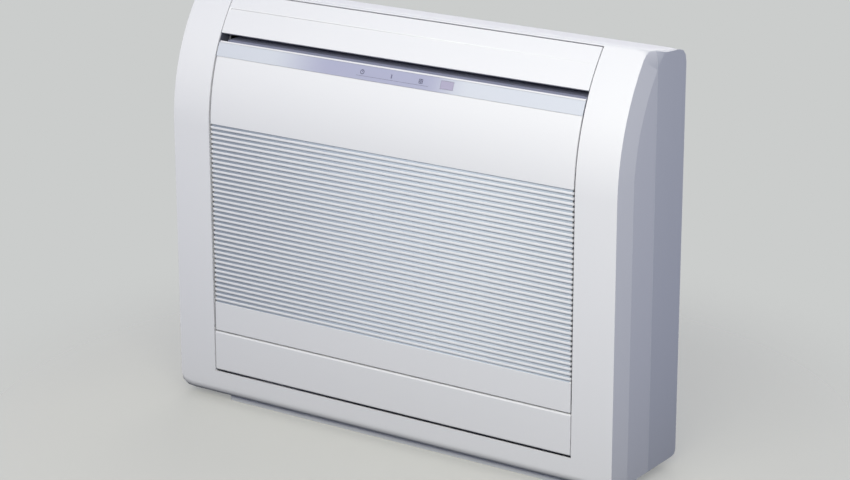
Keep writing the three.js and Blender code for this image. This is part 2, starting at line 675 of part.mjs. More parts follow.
// The two end ears of a flap, each with its pivot pin.
function ears(axis, front, z0, z1) {
  return [-1, 1].flatMap((side) => {
    const [x0, x1] = span(side, PANEL_HALF - EAR_WIDTH, PANEL_HALF);
    const pin = span(side, PANEL_HALF - EAR_WIDTH, OPENING_HALF + PIN_REACH);
    return [
      rod('x', EAR_RADIUS, x0, x1, [0, axis.y, axis.z]),
      block(x0, x1, front, axis.y, z0, z1),
      rod('x', FLAP_PIN_RADIUS, ...pin, [0, axis.y, axis.z]),
    ];
  });
}

function upperFlap() {
  const centre = [FRONT_Y + CURVE_RADIUS, CURVE_START_Z];
  const angleAt = (z) => 180 - toDegrees(Math.asin((z - CURVE_START_Z) / CURVE_RADIUS));
  const low = angleAt(UPPER_FLAP_BOTTOM);
  const high = angleAt(UPPER_FLAP_TOP) + toDegrees(SEAM / CURVE_RADIUS);
  const plate = alongX([
    ...arc(...centre, CURVE_RADIUS, high, low, 8),
    ...arc(...centre, CURVE_RADIUS - FLAP_THICK, low, high, 8),
  ], -PANEL_HALF, PANEL_HALF);
  const line = angleAt(FLAP_GROOVE_Z);
  const groove = alongX([
    ...arc(...centre, CURVE_RADIUS + 2, line - 0.12, line + 0.12, 1),
    ...arc(...centre, CURVE_RADIUS - 0.5, line + 0.1, line - 0.1, 1),
  ], -PANEL_HALF + 6, PANEL_HALF - 6);
  const earFront = frontAt(UPPER_AXIS.z) + 3;
  const arms = ears(UPPER_AXIS, earFront, UPPER_AXIS.z - EAR_RADIUS, UPPER_AXIS.z + EAR_RADIUS);
  return join([cut(plate, [groove]), ...arms]);
}

function lowerFlap() {
  const back = FRONT_Y + FLAP_THICK;
  const rounded = FRONT_Y + LOWER_FLAP_ROUND;
  const plate = alongX([
    [rounded, LOWER_FLAP_BOTTOM], [back, LOWER_FLAP_BOTTOM],
    [back, LOWER_FLAP_TOP], [rounded, LOWER_FLAP_TOP],
    [FRONT_Y, LOWER_FLAP_TOP - LOWER_FLAP_ROUND], [FRONT_Y, LOWER_FLAP_BOTTOM + LOWER_FLAP_ROUND],
  ], -PANEL_HALF, PANEL_HALF);
  const arms = ears(LOWER_AXIS, FRONT_Y + 3, LOWER_FLAP_BOTTOM, LOWER_AXIS.z + EAR_RADIUS);
  return join([plate, ...arms]);
}

function stepper(axis, lean) {
  const from = OPENING_HALF + WALL + GAP;
  const y = axis.y + STEPPER_OFFSET * Math.cos(lean);
  const z = axis.z + STEPPER_OFFSET * Math.sin(lean);
  const can = rod('x', STEPPER_RADIUS, from, from + STEPPER_LENGTH, [0, y, z], 20);
  const lug = block(from, from + SHEET, y - STEPPER_LUG_HALF, y + STEPPER_LUG_HALF,
    z - STEPPER_RADIUS - STEPPER_LUG_DROP, z + STEPPER_RADIUS);
  return join([can, lug]);
}

// ---------------------------------------------------------------- air path

function airDuct() {
  const back = DUCT_BACK_Y;
  const low = [back - DUCT_LOW_RADIUS, DUCT_BOTTOM + DUCT_LOW_RADIUS];
  const high = [back - DUCT_TOP_RADIUS, DUCT_TOP - DUCT_TOP_RADIUS];
  const path = (inset) => [
    [FRONT_Y + DUCT_FLOOR_FRONT, DUCT_BOTTOM + inset],
    ...arc(...low, DUCT_LOW_RADIUS - inset, -90, 0, 4),
    ...arc(...high, DUCT_TOP_RADIUS - inset, 0, 90, 6),
    [FRONT_Y + DUCT_ROOF_FRONT, DUCT_TOP - inset],
  ];
  const outerHalf = DUCT_HALF + DUCT_WALL;
  const sheet = alongX([...path(0), ...path(DUCT_WALL).reverse()], -outerHalf, outerHalf);
  // The side cheeks stay behind the filters, pass under the louvre rail and close the outlet's ends.
  const behindFilter = FILTER_FRONT + FILTER_THICK + 2 * GAP;
  const lip = FRONT_Y + DUCT_CHEEK.lip;
  const step = FRONT_Y + DUCT_CHEEK.step;
  const cheek = [
    ...path(0), [lip, DUCT_TOP - DUCT_CHEEK.lipDrop], [lip, RAIL_TOP - GAP], [step, RAIL_TOP - GAP],
    ...[80, 100, 125, 150].map((drop) => [frontAt(HEIGHT - drop) + behindFilter, HEIGHT - drop]),
    [FRONT_Y + behindFilter, DUCT_CHEEK.foot], [FRONT_Y + DUCT_FLOOR_FRONT, DUCT_CHEEK.foot],
  ];
  const sides = [-outerHalf, DUCT_HALF].map((x) => alongX(cheek, x, x + DUCT_WALL));
  const bosses = [];
  for (const x of [-DUCT_BOSS_X, DUCT_BOSS_X]) {
    for (const z of DUCT_BOSS_Z) {
      bosses.push(rod('y', DUCT_BOSS_RADIUS, back - 1, BACK_Y - WALL - GAP, [x, 0, z]));
    }
  }
  const pipeGap = block(-DUCT_HALF - 5, -DUCT_HALF + DUCT_WALL, FRONT_Y, FRONT_Y + PIPE_GAP.back,
    PIPE_GAP.bottom, PIPE_GAP.top);
  return cut(join([sheet, ...sides, ...bosses]), [pipeGap]);
}

function bellMouth() {
  const front = FRONT_Y + MOUTH_FRONT;
  const flare = MOUTH_FLARE;
  const back = FRONT_Y + FAN_FRONT + SHROUD_SKIRT + 1;
  const half = DUCT_HALF - GAP;
  const plate = cut(block(-half, half, front, front + SHROUD_WALL, PAN_TOP - 14, RAIL_TOP - RAIL_THICK - GAP),
    [rod('y', MOUTH_RADIUS + flare - 1, front - 5, front + 5, [0, 0, FAN_Z], FAN_SIDES)]);
  const profile = [
    ...arc(MOUTH_RADIUS + flare, front + flare, flare, -90, -180, 3),
    [MOUTH_RADIUS, back], [MOUTH_RADIUS + SHROUD_WALL, back],
    ...arc(MOUTH_RADIUS + flare, front + flare, flare - SHROUD_WALL, -180, -90, 3),
  ];
  return join([plate, turned([...profile, profile[0]], FAN_SIDES, 0, FAN_Z)]);
}

function turboFan() {
  const front = FRONT_Y + FAN_FRONT;
  const disc = FRONT_Y + FAN_DISC;
  const eye = FAN_EYE_RADIUS;
  const flare = SHROUD_FLARE;
  const wall = SHROUD_WALL;
  const skirt = front + SHROUD_SKIRT;
  // The shroud turns from the eye out to a flat rim that the blades run into.
  const rim = skirt + flare;
  const shroud = turned([
    [eye, front], ...arc(eye + wall + flare, skirt, flare + wall, 180, 90, 4),
    [FAN_RADIUS, rim + wall], [FAN_RADIUS, rim], ...arc(eye + wall + flare, skirt, flare, 90, 180, 4),
    [eye + wall, front], [eye, front],
  ], FAN_SIDES, 0, FAN_Z);
  const collar = FRONT_Y + MOTOR_FRONT - HUB_COLLAR;
  const dome = FRONT_Y + MOTOR_FRONT - HUB_DOME;
  const bore = SHAFT_RADIUS + GAP;
  const hub = turned([
    [bore, collar], [bore + 8, collar], [bore + 8, dome], [HUB_RADIUS - 6, dome + 3],
    [HUB_RADIUS + 2, disc], [FAN_RADIUS, disc], [FAN_RADIUS, disc + FAN_DISC_THICK],
    [HUB_RADIUS, disc + FAN_DISC_THICK], [HUB_RADIUS - 8, dome + 5], [bore, dome + 3], [bore, collar],
  ], FAN_SIDES, 0, FAN_Z);
  const blades = [];
  for (let i = 0; i < FAN_BLADES; i++) {
    const depth = disc + 1 - (rim + wall / 2);
    const geometry = new THREE.ExtrudeGeometry(bladeShape(), { depth, bevelEnabled: false });
    const stand = new THREE.Matrix4().makeBasis(X, Z, Y.clone().negate()).setPosition(0, disc + 1, 0);
    const spin = new THREE.Matrix4().makeRotationY(2 * Math.PI * i / FAN_BLADES);
    const lift = new THREE.Matrix4().makeTranslation(0, 0, FAN_Z);
    blades.push(placed(geometry, lift.multiply(spin).multiply(stand)));
  }
  return join([shroud, hub, ...blades]);
}

// A backward-leaning aerofoil in the fan's plane, from the inner to the outer radius.
function bladeShape() {
  const steps = 3;
  const upper = [];
  const lower = [];
  for (let i = 0; i <= steps; i++) {
    const t = i / steps;
    const radius = BLADE_INNER + (FAN_RADIUS - 1.5 - BLADE_INNER) * t;
    const angle = deg(BLADE_SWEEP) * Math.pow(t, 0.85);
    const thick = 1 + BLADE_THICK * Math.sqrt(t) * (1 - t) + 0.6 * (1 - t);
    const along = new THREE.Vector2(Math.cos(angle), Math.sin(angle));
    const across = new THREE.Vector2(-along.y, along.x);
    upper.push(along.clone().multiplyScalar(radius).addScaledVector(across, thick));
    lower.push(along.clone().multiplyScalar(radius).addScaledVector(across, -thick * 0.3));
  }
  return new THREE.Shape([...lower, ...upper.reverse()]);
}

function motorShaft() {
  const front = FRONT_Y + MOTOR_FRONT;
  return rod('y', SHAFT_RADIUS, front - SHAFT_OUT, front + SHAFT_IN, [0, 0, FAN_Z], 16);
}

function fanNut() {
  const to = FRONT_Y + MOTOR_FRONT - HUB_COLLAR - GAP;
  const nut = rod('y', NUT_RADIUS, to - NUT_THICK, to, [0, 0, FAN_Z], 6);
  return cut(nut, [rod('y', SHAFT_RADIUS + GAP, to - NUT_THICK - 1, to + 1, [0, 0, FAN_Z], 16)]);
}

function fanMotor() {
  const [front, back] = [FRONT_Y + MOTOR_FRONT, FRONT_Y + MOTOR_BACK];
  const bore = SHAFT_RADIUS + SHAFT_CLEARANCE;
  const boreEnd = front + SHAFT_IN + GAP;
  const flange = back - MOTOR_FLANGE;
  return turned([
    [bore, boreEnd], [bore, front], [14, front], [16, front + 4], [MOTOR_RADIUS - 6, front + 4],
    [MOTOR_RADIUS, front + 10], [MOTOR_RADIUS, flange], [MOTOR_RADIUS + 6, flange], [MOTOR_RADIUS + 6, back],
    [0, back], [0, boreEnd], [bore, boreEnd],
  ], 24, 0, FAN_Z);
}

function motorBracket() {
  const front = FRONT_Y + MOTOR_BACK + GAP;
  const seat = DUCT_BACK_Y - DUCT_WALL - GAP;
  const leg = BRACKET_LEG_HALF;
  const pieces = [rod('y', MOTOR_RADIUS + BRACKET_RING, front, front + SHEET, [0, 0, FAN_Z], 24)];
  for (const side of [-1, 1]) {
    for (const up of [-1, 1]) {
      const x = side * BRACKET_ARM_X;
      const z = FAN_Z + up * BRACKET_ARM_Z;
      const corners = [
        [side * 20, FAN_Z + up * 8], [side * 50, FAN_Z + up * 8], [x + side * leg, z - up * leg],
        [x + side * leg, z + up * leg], [x - side * leg, z + up * leg], [side * 20, FAN_Z + up * 34],
      ];
      pieces.push(block(x - leg, x + leg, front, seat, z - leg, z + leg));
      pieces.push(alongY(side * up > 0 ? corners : corners.reverse(), front, front + SHEET));
    }
  }
  const vent = rod('y', BRACKET_VENT_RADIUS, front - 5, front + 10, [0, 0, FAN_Z], 16);
  return cut(join(pieces), [vent]);
}

function coilFins() {
  const [front, back] = [FRONT_Y + COIL_FRONT, FRONT_Y + COIL_FRONT + COIL_THICK];
  const pitch = 2 * COIL_HALF / FIN_COUNT;
  const outlinePoints = [[-COIL_HALF, front]];
  for (let i = 0; i < FIN_COUNT; i++) {
    const x = -COIL_HALF + i * pitch;
    const [from, to] = [x + pitch * 0.6, x + pitch * 0.9];
    outlinePoints.push([from, front], [from, front + FIN_GROOVE], [to, front + FIN_GROOVE], [to, front]);
  }
  outlinePoints.push([COIL_HALF, front], [COIL_HALF, back], [-COIL_HALF, back]);
  const shape = new THREE.Shape(outlinePoints.map(([x, y]) => new THREE.Vector2(x, y)));
  const geometry = new THREE.ExtrudeGeometry(shape, { depth: COIL_TOP - COIL_BOTTOM, bevelEnabled: false });
  return solid(geometry.translate(0, 0, COIL_BOTTOM + GAP));
}

// A tube sheet with the hairpin bends brazed on its outside.
function coilEnd(side) {
  const [front, back] = [FRONT_Y + COIL_FRONT, FRONT_Y + COIL_FRONT + COIL_THICK];
  const inner = COIL_HALF + GAP;
  const [x0, x1] = span(side, inner, inner + SHEET);
  const sheet = block(x0, x1, front - 1, back + 1, COIL_BOTTOM + GAP, COIL_TOP + 3);
  const rowPitch = (COIL_TOP - COIL_BOTTOM - 30) / (TUBE_ROWS - 1);
  const outside = block(...span(side, inner, inner + 40), -FAR, FAR, 0, FAR);
  const bends = [];
  for (let row = 0; row < TUBE_ROWS; row++) {
    const z = COIL_BOTTOM + 18 + row * rowPitch;
    const from = new THREE.Vector3(side * inner, front + BEND_IN, z);
    const to = new THREE.Vector3(side * inner, back - BEND_IN, z + side * BEND_LIFT);
    const out = side * (inner + BEND_REACH);
    const path = new THREE.CubicBezierCurve3(from, from.clone().setX(out), to.clone().setX(out), to);
    bends.push(sweep(path, TUBE_RADIUS, 5, 4).intersect(outside));
  }
  return join([sheet, ...bends]);
}

// A pipe from the coil's left end, out past the duct, down the side and towards the notch in the back.
function refrigerantPipe({ radius, start, z, inset, end }) {
  const from = -(COIL_HALF + SHEET + 2 * GAP);
  const startY = FRONT_Y + start;
  const endY = BACK_Y - end;
  const dropX = -HALF + inset;
  const points = [
    [from, startY, z], [from - 20, startY, z], [dropX + 4, startY, z - 14],
    [dropX, startY + 4, (z + PIPE_ELBOW_Z) / 2], [dropX, startY + 20, PIPE_ELBOW_Z],
    [dropX + 4, endY - 30, PIPE_LOW_Z], [dropX + 8, endY, PIPE_END_Z],
  ].map((point) => new THREE.Vector3(...point));
  const pipe = sweep(new THREE.CatmullRomCurve3(points, false, 'centripetal'), radius, 6, 16);
  const nut = rod('z', radius * FLARE_NUT_RATIO, PIPE_END_Z - 12, PIPE_END_Z - 12 + FLARE_NUT_LENGTH,
    [dropX + 8, endY, 0], 6);
  return join([pipe, nut]);
}

function drainPan() {
  const [front, back] = [FRONT_Y + COIL_FRONT - 4, FRONT_Y + COIL_FRONT + COIL_THICK + 3.5];
  const half = DUCT_HALF - GAP;
  const tray = block(-half, half, front, back, PAN_BOTTOM, PAN_TOP);
  const trough = block(-half + PAN_WALL, half - PAN_WALL, front + PAN_WALL, back - PAN_WALL,
    PAN_BOTTOM + PAN_FLOOR, FAR);
  const middle = [-half + SPOUT_IN, (front + back) / 2, 0];
  const spout = rod('z', SPOUT_RADIUS, PAN_BOTTOM - SPOUT_LENGTH, PAN_BOTTOM + PAN_FLOOR - 1, middle);
  const drain = rod('z', DRAIN_RADIUS, PAN_BOTTOM - SPOUT_LENGTH - 1, PAN_BOTTOM + PAN_FLOOR + 1, middle);
  return cut(join([cut(tray, [trough]), spout]), [drain]);
}

function airFilter(side) {
  const width = DUCT_HALF - 3;
  const [x0, x1] = span(side, 1.5, 1.5 + width);
  const [z0, z1] = [PAN_TOP - 6, COIL_TOP + 22];
  const [front, back] = [FILTER_FRONT, FILTER_FRONT + FILTER_THICK];
  const between = (FILTER_CELLS - 1) * FILTER_RIB;
  const cellWidth = (width - 2 * FILTER_BORDER - between) / FILTER_CELLS;
  const cellHeight = (z1 - z0 - 2 * FILTER_BORDER - between) / FILTER_CELLS;
  const middle = (front + back) / 2;
  const cells = [];
  for (let i = 0; i < FILTER_CELLS; i++) {
    for (let j = 0; j < FILTER_CELLS; j++) {
      const x = x0 + FILTER_BORDER + i * (cellWidth + FILTER_RIB);
      const z = z0 + FILTER_BORDER + j * (cellHeight + FILTER_RIB);
      cells.push(skin(z, z + cellHeight, front - 2, middle - FILTER_NET / 2, x, x + cellWidth, 3));
      cells.push(skin(z, z + cellHeight, middle + FILTER_NET / 2, back + 2, x, x + cellWidth, 3));
    }
  }
  const centre = (x0 + x1) / 2;
  const tab = skin(z1 - 1, z1 + 8, front + 1, front + 3, centre - 14, centre + 14, 1);
  return join([cut(skin(z0, z1, front, back, x0, x1, 3), cells), tab]);
}

// ---------------------------------------------------------------- louvre blades

function vaneRail() {
  const [front, back] = [FRONT_Y + RAIL_FRONT, FRONT_Y + RAIL_BACK];
  const half = DUCT_HALF - GAP;
  const plate = block(-half, half, front, back, RAIL_TOP - RAIL_THICK, RAIL_TOP);
  const lip = block(-half, half, front, front + 2, RAIL_TOP - RAIL_LIP, RAIL_TOP - 1);
  const holes = vaneRow(1).concat(vaneRow(-1)).map((x) =>
    rod('z', VANE_PIN_RADIUS + PIN_CLEARANCE, RAIL_TOP - 4, RAIL_TOP + 5, [x, VANE_Y, 0], 6));
  return cut(join([plate, lip]), holes);
}

function vaneRow(side) {
  return Array.from({ length: VANE_COUNT }, (_, i) => side * (VANE_FIRST_X + i * VANE_PITCH));
}

// One blade, drawn round its own pivot.
function vane() {
  const half = VANE_CHORD / 2;
  const shape = new THREE.Shape([
    [-half, VANE_BOTTOM], [half, VANE_BOTTOM], [half, VANE_TOP], [-half + VANE_NOSE, VANE_TOP],
    [-half, VANE_TOP - VANE_NOSE],
  ].map(([y, z]) => new THREE.Vector2(y, z)));
  const geometry = new THREE.ExtrudeGeometry(shape, { depth: VANE_THICK, bevelEnabled: false });
  const plate = placed(geometry, new THREE.Matrix4().makeBasis(Y, Z, X).setPosition(-VANE_THICK / 2, 0, 0));
  const pin = rod('z', VANE_PIN_RADIUS, RAIL_TOP - RAIL_THICK, VANE_BOTTOM + 1, [0, 0, 0], 6);
  const linkPin = rod('z', LINK_PIN_RADIUS, LINK_Z + 0.2, VANE_BOTTOM + 1, [0, LINK_ARM, 0], 6);
  return join([plate, pin, linkPin]);
}

function linkBar(side) {
  const xs = vaneRow(side);
  const [x0, x1] = [Math.min(...xs) - 4, Math.max(...xs) + 4];
  const y = VANE_Y + LINK_ARM;
  const bar = block(x0, x1, y - LINK_WIDTH / 2, y + LINK_WIDTH / 2, LINK_Z, LINK_Z + LINK_THICK);
  const bore = LINK_PIN_RADIUS + LINK_BORE_CLEARANCE;
  return cut(bar, xs.map((x) => rod('z', bore, LINK_Z - 2, LINK_Z + 5, [x, y, 0], 6)));
}

// ---------------------------------------------------------------- controls

function controlBox() {
  const [x0, x1] = [BOX_X, BOX_X + BOX_WIDTH];
  const [z0, z1] = [BOX_BOTTOM, BOX_BOTTOM + BOX_HEIGHT];
  const back = BOX_FRONT_Y + BOX_DEPTH;
  const inside = block(x0 + SHEET, x1 - SHEET, BOX_FRONT_Y - 1, back - SHEET, z0 + SHEET, z1 - SHEET);
  const vents = [0, 1, 2, 3].map((i) => {
    const y = BOX_FRONT_Y + 20 + i * BOX_VENT_PITCH;
    return block(x0 + 14, x1 - 14, y, y + BOX_VENT_WIDTH, z1 - 5, FAR);
  });
  return cut(block(x0, x1, BOX_FRONT_Y, back, z0, z1), [inside, ...vents]);
}

function controlCover() {
  const front = BOX_FRONT_Y - GAP - SHEET;
  const plate = block(BOX_X, BOX_X + BOX_WIDTH, front, front + SHEET, BOX_BOTTOM, BOX_BOTTOM + BOX_HEIGHT);
  return cut(plate, COVER_SCREW_Z.map((z) =>
    rod('y', SCREW_RADIUS + GAP, front - 5, front + 5, [BOX_X + BOX_WIDTH / 2, 0, z])));
}

function controlBoard() {
  const x = BOX_X + SHEET + BOARD_STAND;
  const boxed = ({ stands, y, z }) => block(x + 1, x + stands, BOX_FRONT_Y + y[0], BOX_FRONT_Y + y[1],
    BOX_BOTTOM + z[0], BOX_BOTTOM + z[1]);
  const round = ({ stands, radius, y, z }) =>
    rod('x', radius, x + 1, x + stands, [0, BOX_FRONT_Y + y, BOX_BOTTOM + z], 16);
  const board = block(x, x + SHEET, BOX_FRONT_Y + 4, BOX_FRONT_Y + BOX_DEPTH - 6,
    BOX_BOTTOM + BOARD_BOTTOM, BOX_BOTTOM + BOX_HEIGHT - 6);
  const feet = BOARD_FEET_Z.map((z) => block(BOX_X + SHEET + GAP, x + 0.5, BOX_FRONT_Y + 8, BOX_FRONT_Y + 14,
    BOX_BOTTOM + z - 3, BOX_BOTTOM + z + 3));
  const parts = [...[TRANSFORMER, RELAY, CHIP].map(boxed), ...[LARGE_CAPACITOR, SMALL_CAPACITOR].map(round)];
  return join([board, ...parts, ...feet]);
}

function terminalBlock() {
  const { count, pitch, well, stands, y, z } = TERMINALS;
  const x = BOX_X + SHEET + GAP;
  const [y0, y1] = y.map((depth) => BOX_FRONT_Y + depth);
  const [z0, z1] = z.map((height) => BOX_BOTTOM + height);
  const wells = Array.from({ length: count }, (_, i) =>
    block(x + 8, x + stands + 10, y0 + 4, y1 - 4, z0 + 4 + i * pitch, z0 + 4 + well + i * pitch));
  return cut(block(x, x + stands, y0, y1, z0, z1), wells);
}

function displayCase() {
  const [y0, y1] = [FRONT_Y + CASE_FRONT, FRONT_Y + CASE_BACK];
  const tray = block(CASE_LEFT + CASE_WALL, CASE_RIGHT - CASE_BUTTON_END, y0 - 1, y1 - CASE_WALL,
    CASE_BOTTOM + CASE_WALL, CASE_TOP - CASE_WALL);
  const guide = rod('y', BUTTON_RADIUS + PIN_CLEARANCE, y0 - 1, y1 - CASE_WALL, [BUTTON_X, 0, BUTTON_Z], 20);
  return cut(block(CASE_LEFT, CASE_RIGHT, y0, y1, CASE_BOTTOM, CASE_TOP), [tray, guide]);
}

function displayBoard() {
  const front = FRONT_Y + CASE_FRONT;
  const clear = CASE_WALL + GAP;
  const middleZ = (CASE_BOTTOM + CASE_TOP) / 2;
  const board = block(CASE_LEFT + clear, CASE_RIGHT - CASE_BUTTON_END - GAP, front + 3, front + 3 + SHEET,
    CASE_BOTTOM + clear, CASE_TOP - clear);
  const lamps = [-1, 0, 1].map((i) =>
    rod('y', 2, front + 0.5, front + 3.5, [LAMP_MIDDLE_X + i * LAMP_SPACING, 0, middleZ], 10));
  const eye = rod('y', 3.5, front + 0.5, front + 3.5, [WINDOW_X - 2, 0, middleZ]);
  return join([board, ...lamps, eye]);
}

function manualButton() {
  const front = FRONT_Y + CASE_FRONT - BUTTON_PROUD;
  return rod('y', BUTTON_RADIUS, front, front + BUTTON_LENGTH, [BUTTON_X, 0, BUTTON_Z], 20);
}

function roomSensor() {
  const y = FRONT_Y + SENSOR_Y;
  return join([
    block(BOX_X, BOX_X + 2, y - 5, y + 5, SENSOR_BOTTOM + 4, SENSOR_TOP - 4),
    rod('z', SENSOR_RADIUS, SENSOR_BOTTOM, SENSOR_TOP, [BOX_X + 3, y, 0], 10),
  ]);
}

function wallBracket() {
  const back = BACK_Y - GAP;
  const plate = block(-BRACKET_HALF, BRACKET_HALF, back - SHEET, back, BRACKET_Z - BRACKET_HEIGHT / 2,
    BRACKET_Z + BRACKET_HEIGHT / 2);
  const hookZ = BRACKET_Z + BRACKET_HOOK_Z;
  const hooks = [-BRACKET_HOOK_X, BRACKET_HOOK_X].map((x) => block(x - BRACKET_HOOK_HALF,
    x + BRACKET_HOOK_HALF, BACK_Y - BRACKET_POCKET + GAP, back - SHEET + 0.5, hookZ, hookZ + 4));
  const holes = [-BRACKET_HOLE_X, 0, BRACKET_HOLE_X].map((x) =>
    rod('y', BRACKET_HOLE_RADIUS, back - 10, back + 5, [x, 0, BRACKET_Z - BRACKET_HOLE_DROP]));
  return cut(join([plate, ...hooks]), holes);
}

// ---------------------------------------------------------------- screws

// A pan-head screw whose head looks towards -Y and sits on the plane y = 0.
function screw(length) {
  const profile = [[0, length], [SCREW_RADIUS, length - 1], [SCREW_RADIUS, 0], [SCREW_HEAD, 0],
    [SCREW_HEAD, -SCREW_HEAD_HEIGHT / 2], [SCREW_HEAD - 1.6, -SCREW_HEAD_HEIGHT], [0, -SCREW_HEAD_HEIGHT]];
  return turned(profile, 8);
}

// ---------------------------------------------------------------- the assembly

const model = new THREE.Group();

const finishes = {
  casing: { color: 0xe9ebee, roughness: 0.42, metalness: 0 },
  strip: { color: 0xc3c5dc, roughness: 0.3, metalness: 0.2 },
  lens: { color: 0x7d8296, roughness: 0.25, metalness: 0 },
  window: { color: 0xa9a9c2, roughness: 0.2, metalness: 0 },
  innerPlastic: { color: 0xd5d8dc, roughness: 0.55, metalness: 0 },
  darkPlastic: { color: 0x3c4048, roughness: 0.6, metalness: 0 },
  fan: { color: 0x9aa0a8, roughness: 0.55, metalness: 0 },
  aluminium: { color: 0xb9bdc2, roughness: 0.4, metalness: 0.9 },
  copper: { color: 0xb87348, roughness: 0.35, metalness: 0.9 },
  steel: { color: 0xaeb2b6, roughness: 0.45, metalness: 0.8 },
  board: { color: 0x2e6b45, roughness: 0.5, metalness: 0 },
};

function add(name, manifold, finish, place = {}) {
  const material = new THREE.MeshStandardMaterial(finishes[finish]);
  const mesh = new THREE.Mesh(geometryOf(manifold), material);
  mesh.name = name;
  mesh.position.set(place.x ?? 0, place.y ?? 0, place.z ?? 0);
  model.add(mesh);
}

add('front_casing', frontCasing(), 'casing');
add('rear_casing', rearCasing(), 'casing');
add('base_plinth', plinth(), 'innerPlastic');

add('front_panel', frontPanel(), 'casing');
add('display_strip', displayStrip(), 'strip');
for (const [name, [shape, x]] of Object.entries(inlays)) {
  add(name, inlay(shape, x), name === 'receiver_window' ? 'window' : 'lens');
}
add('upper_flap', upperFlap(), 'casing');
add('lower_flap', lowerFlap(), 'casing');
add('upper_flap_motor', stepper(UPPER_AXIS, deg(UPPER_STEPPER_LEAN)), 'steel');
add('lower_flap_motor', stepper(LOWER_AXIS, 0), 'steel');

add('air_duct', airDuct(), 'innerPlastic');
add('bell_mouth', bellMouth(), 'innerPlastic');
add('turbo_fan', turboFan(), 'fan');
add('motor_shaft', motorShaft(), 'steel');
add('fan_nut', fanNut(), 'steel');
add('fan_motor', fanMotor(), 'steel');
add('motor_bracket', motorBracket(), 'steel');
add('exchanger_fins', coilFins(), 'aluminium');
add('coil_end_left', coilEnd(-1), 'copper');
add('coil_end_right', coilEnd(1), 'copper');
add('gas_pipe', refrigerantPipe(GAS_PIPE), 'copper');
add('liquid_pipe', refrigerantPipe(LIQUID_PIPE), 'copper');
add('drain_pan', drainPan(), 'darkPlastic');
add('air_filter_left', airFilter(-1), 'darkPlastic');
add('air_filter_right', airFilter(1), 'darkPlastic');

add('vane_rail', vaneRail(), 'innerPlastic');
for (const [side, word] of [[-1, 'left'], [1, 'right']]) {
  vaneRow(side).forEach((x, i) => add(`louvre_${word}_${i + 1}`, vane(), 'innerPlastic', { x, y: VANE_Y }));
  add(`link_bar_${word}`, linkBar(side), 'innerPlastic');
}

add('control_box', controlBox(), 'steel');
add('control_cover', controlCover(), 'steel');
add('control_board', controlBoard(), 'board');
add('terminal_block', terminalBlock(), 'darkPlastic');
add('display_case', displayCase(), 'innerPlastic');
add('display_board', displayBoard(), 'board');
add('manual_button', manualButton(), 'casing');
add('room_sensor', roomSensor(), 'darkPlastic');
add('wall_bracket', wallBracket(), 'steel');

for (const [side, word] of [[-1, 'left'], [1, 'right']]) {
  add(`casing_screw_${word}`, screw(CASING_SCREW_LENGTH), 'steel',
    { x: side * CASING_SCREW_X, y: FRONT_Y + CROSSBAR.front - GAP, z: CASING_SCREW_Z });
}
COVER_SCREW_Z.forEach((z, i) => add(`cover_screw_${i + 1}`, screw(COVER_SCREW_LENGTH), 'steel',
  { x: BOX_X + BOX_WIDTH / 2, y: BOX_FRONT_Y - SHEET - 2 * GAP, z }));

export default model;
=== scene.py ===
"""A low white floor console air conditioner: its camera, light, finishes and fine mouldings.

Metres, +Z up, front towards -Y. The pieces of the frame keep their shape and get their finishes. The intake
panel is remade here with rounded slats, printed marks are added, and dark pads paint shade at the outlet
slot's ends.
"""

import math

import bmesh
import bpy
from mathutils import Matrix, Vector


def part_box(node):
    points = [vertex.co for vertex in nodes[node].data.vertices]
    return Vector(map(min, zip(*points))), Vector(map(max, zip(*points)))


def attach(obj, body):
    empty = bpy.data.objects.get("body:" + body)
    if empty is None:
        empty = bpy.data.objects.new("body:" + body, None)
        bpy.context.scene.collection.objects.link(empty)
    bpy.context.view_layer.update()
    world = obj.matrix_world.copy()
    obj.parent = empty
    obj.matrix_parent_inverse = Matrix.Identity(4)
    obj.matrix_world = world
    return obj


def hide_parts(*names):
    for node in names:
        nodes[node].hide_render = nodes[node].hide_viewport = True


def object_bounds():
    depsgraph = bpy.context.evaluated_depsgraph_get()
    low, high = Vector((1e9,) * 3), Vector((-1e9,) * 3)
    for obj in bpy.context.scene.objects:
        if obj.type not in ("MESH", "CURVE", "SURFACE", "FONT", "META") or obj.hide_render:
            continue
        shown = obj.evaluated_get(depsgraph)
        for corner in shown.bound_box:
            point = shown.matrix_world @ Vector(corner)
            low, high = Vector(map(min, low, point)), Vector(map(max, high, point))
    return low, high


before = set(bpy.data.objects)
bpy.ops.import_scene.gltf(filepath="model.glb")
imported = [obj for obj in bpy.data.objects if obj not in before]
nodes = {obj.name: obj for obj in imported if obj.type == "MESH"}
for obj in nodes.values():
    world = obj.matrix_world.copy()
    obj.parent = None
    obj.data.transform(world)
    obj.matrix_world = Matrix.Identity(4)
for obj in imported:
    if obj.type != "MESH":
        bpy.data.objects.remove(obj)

cad_low, cad_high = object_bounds()
MM = 0.001

# ---------------------------------------------------------------- sizes

FRONT_Y = cad_low.y
CURVE_START_Z = 412 * MM          # the front is flat below this height
CURVE_RADIUS = 288 * MM           # and leans back on this radius above it
OPENING_HALF = 302 * MM           # between the columns' inner walls

PANEL_LOW, PANEL_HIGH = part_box("front_panel")
PANEL_HALF = 299.7 * MM
PANEL_THICK = 7 * MM
PANEL_BORDER = 9 * MM             # from the panel's side to its first window
WINDOW_REACH = 2 * MM             # a face this near the windows' middle height is cut out
PANEL_SIDE_ROUND = 2.2 * MM
PANEL_EDGE_ROUND = 0.9 * MM
CURVE_STEPS = 14                  # facets of the panel's bend, and of the strip's pocket
POCKET_STEPS = 3
RIB_COUNT = 3
RIB_WIDTH = 6 * MM

STRIP_LOW, STRIP_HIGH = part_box("display_strip")
STRIP_POCKET = 1.8 * MM
STRIP_GAP = 0.3 * MM
STRIP_MIDDLE_Z = 524.5 * MM

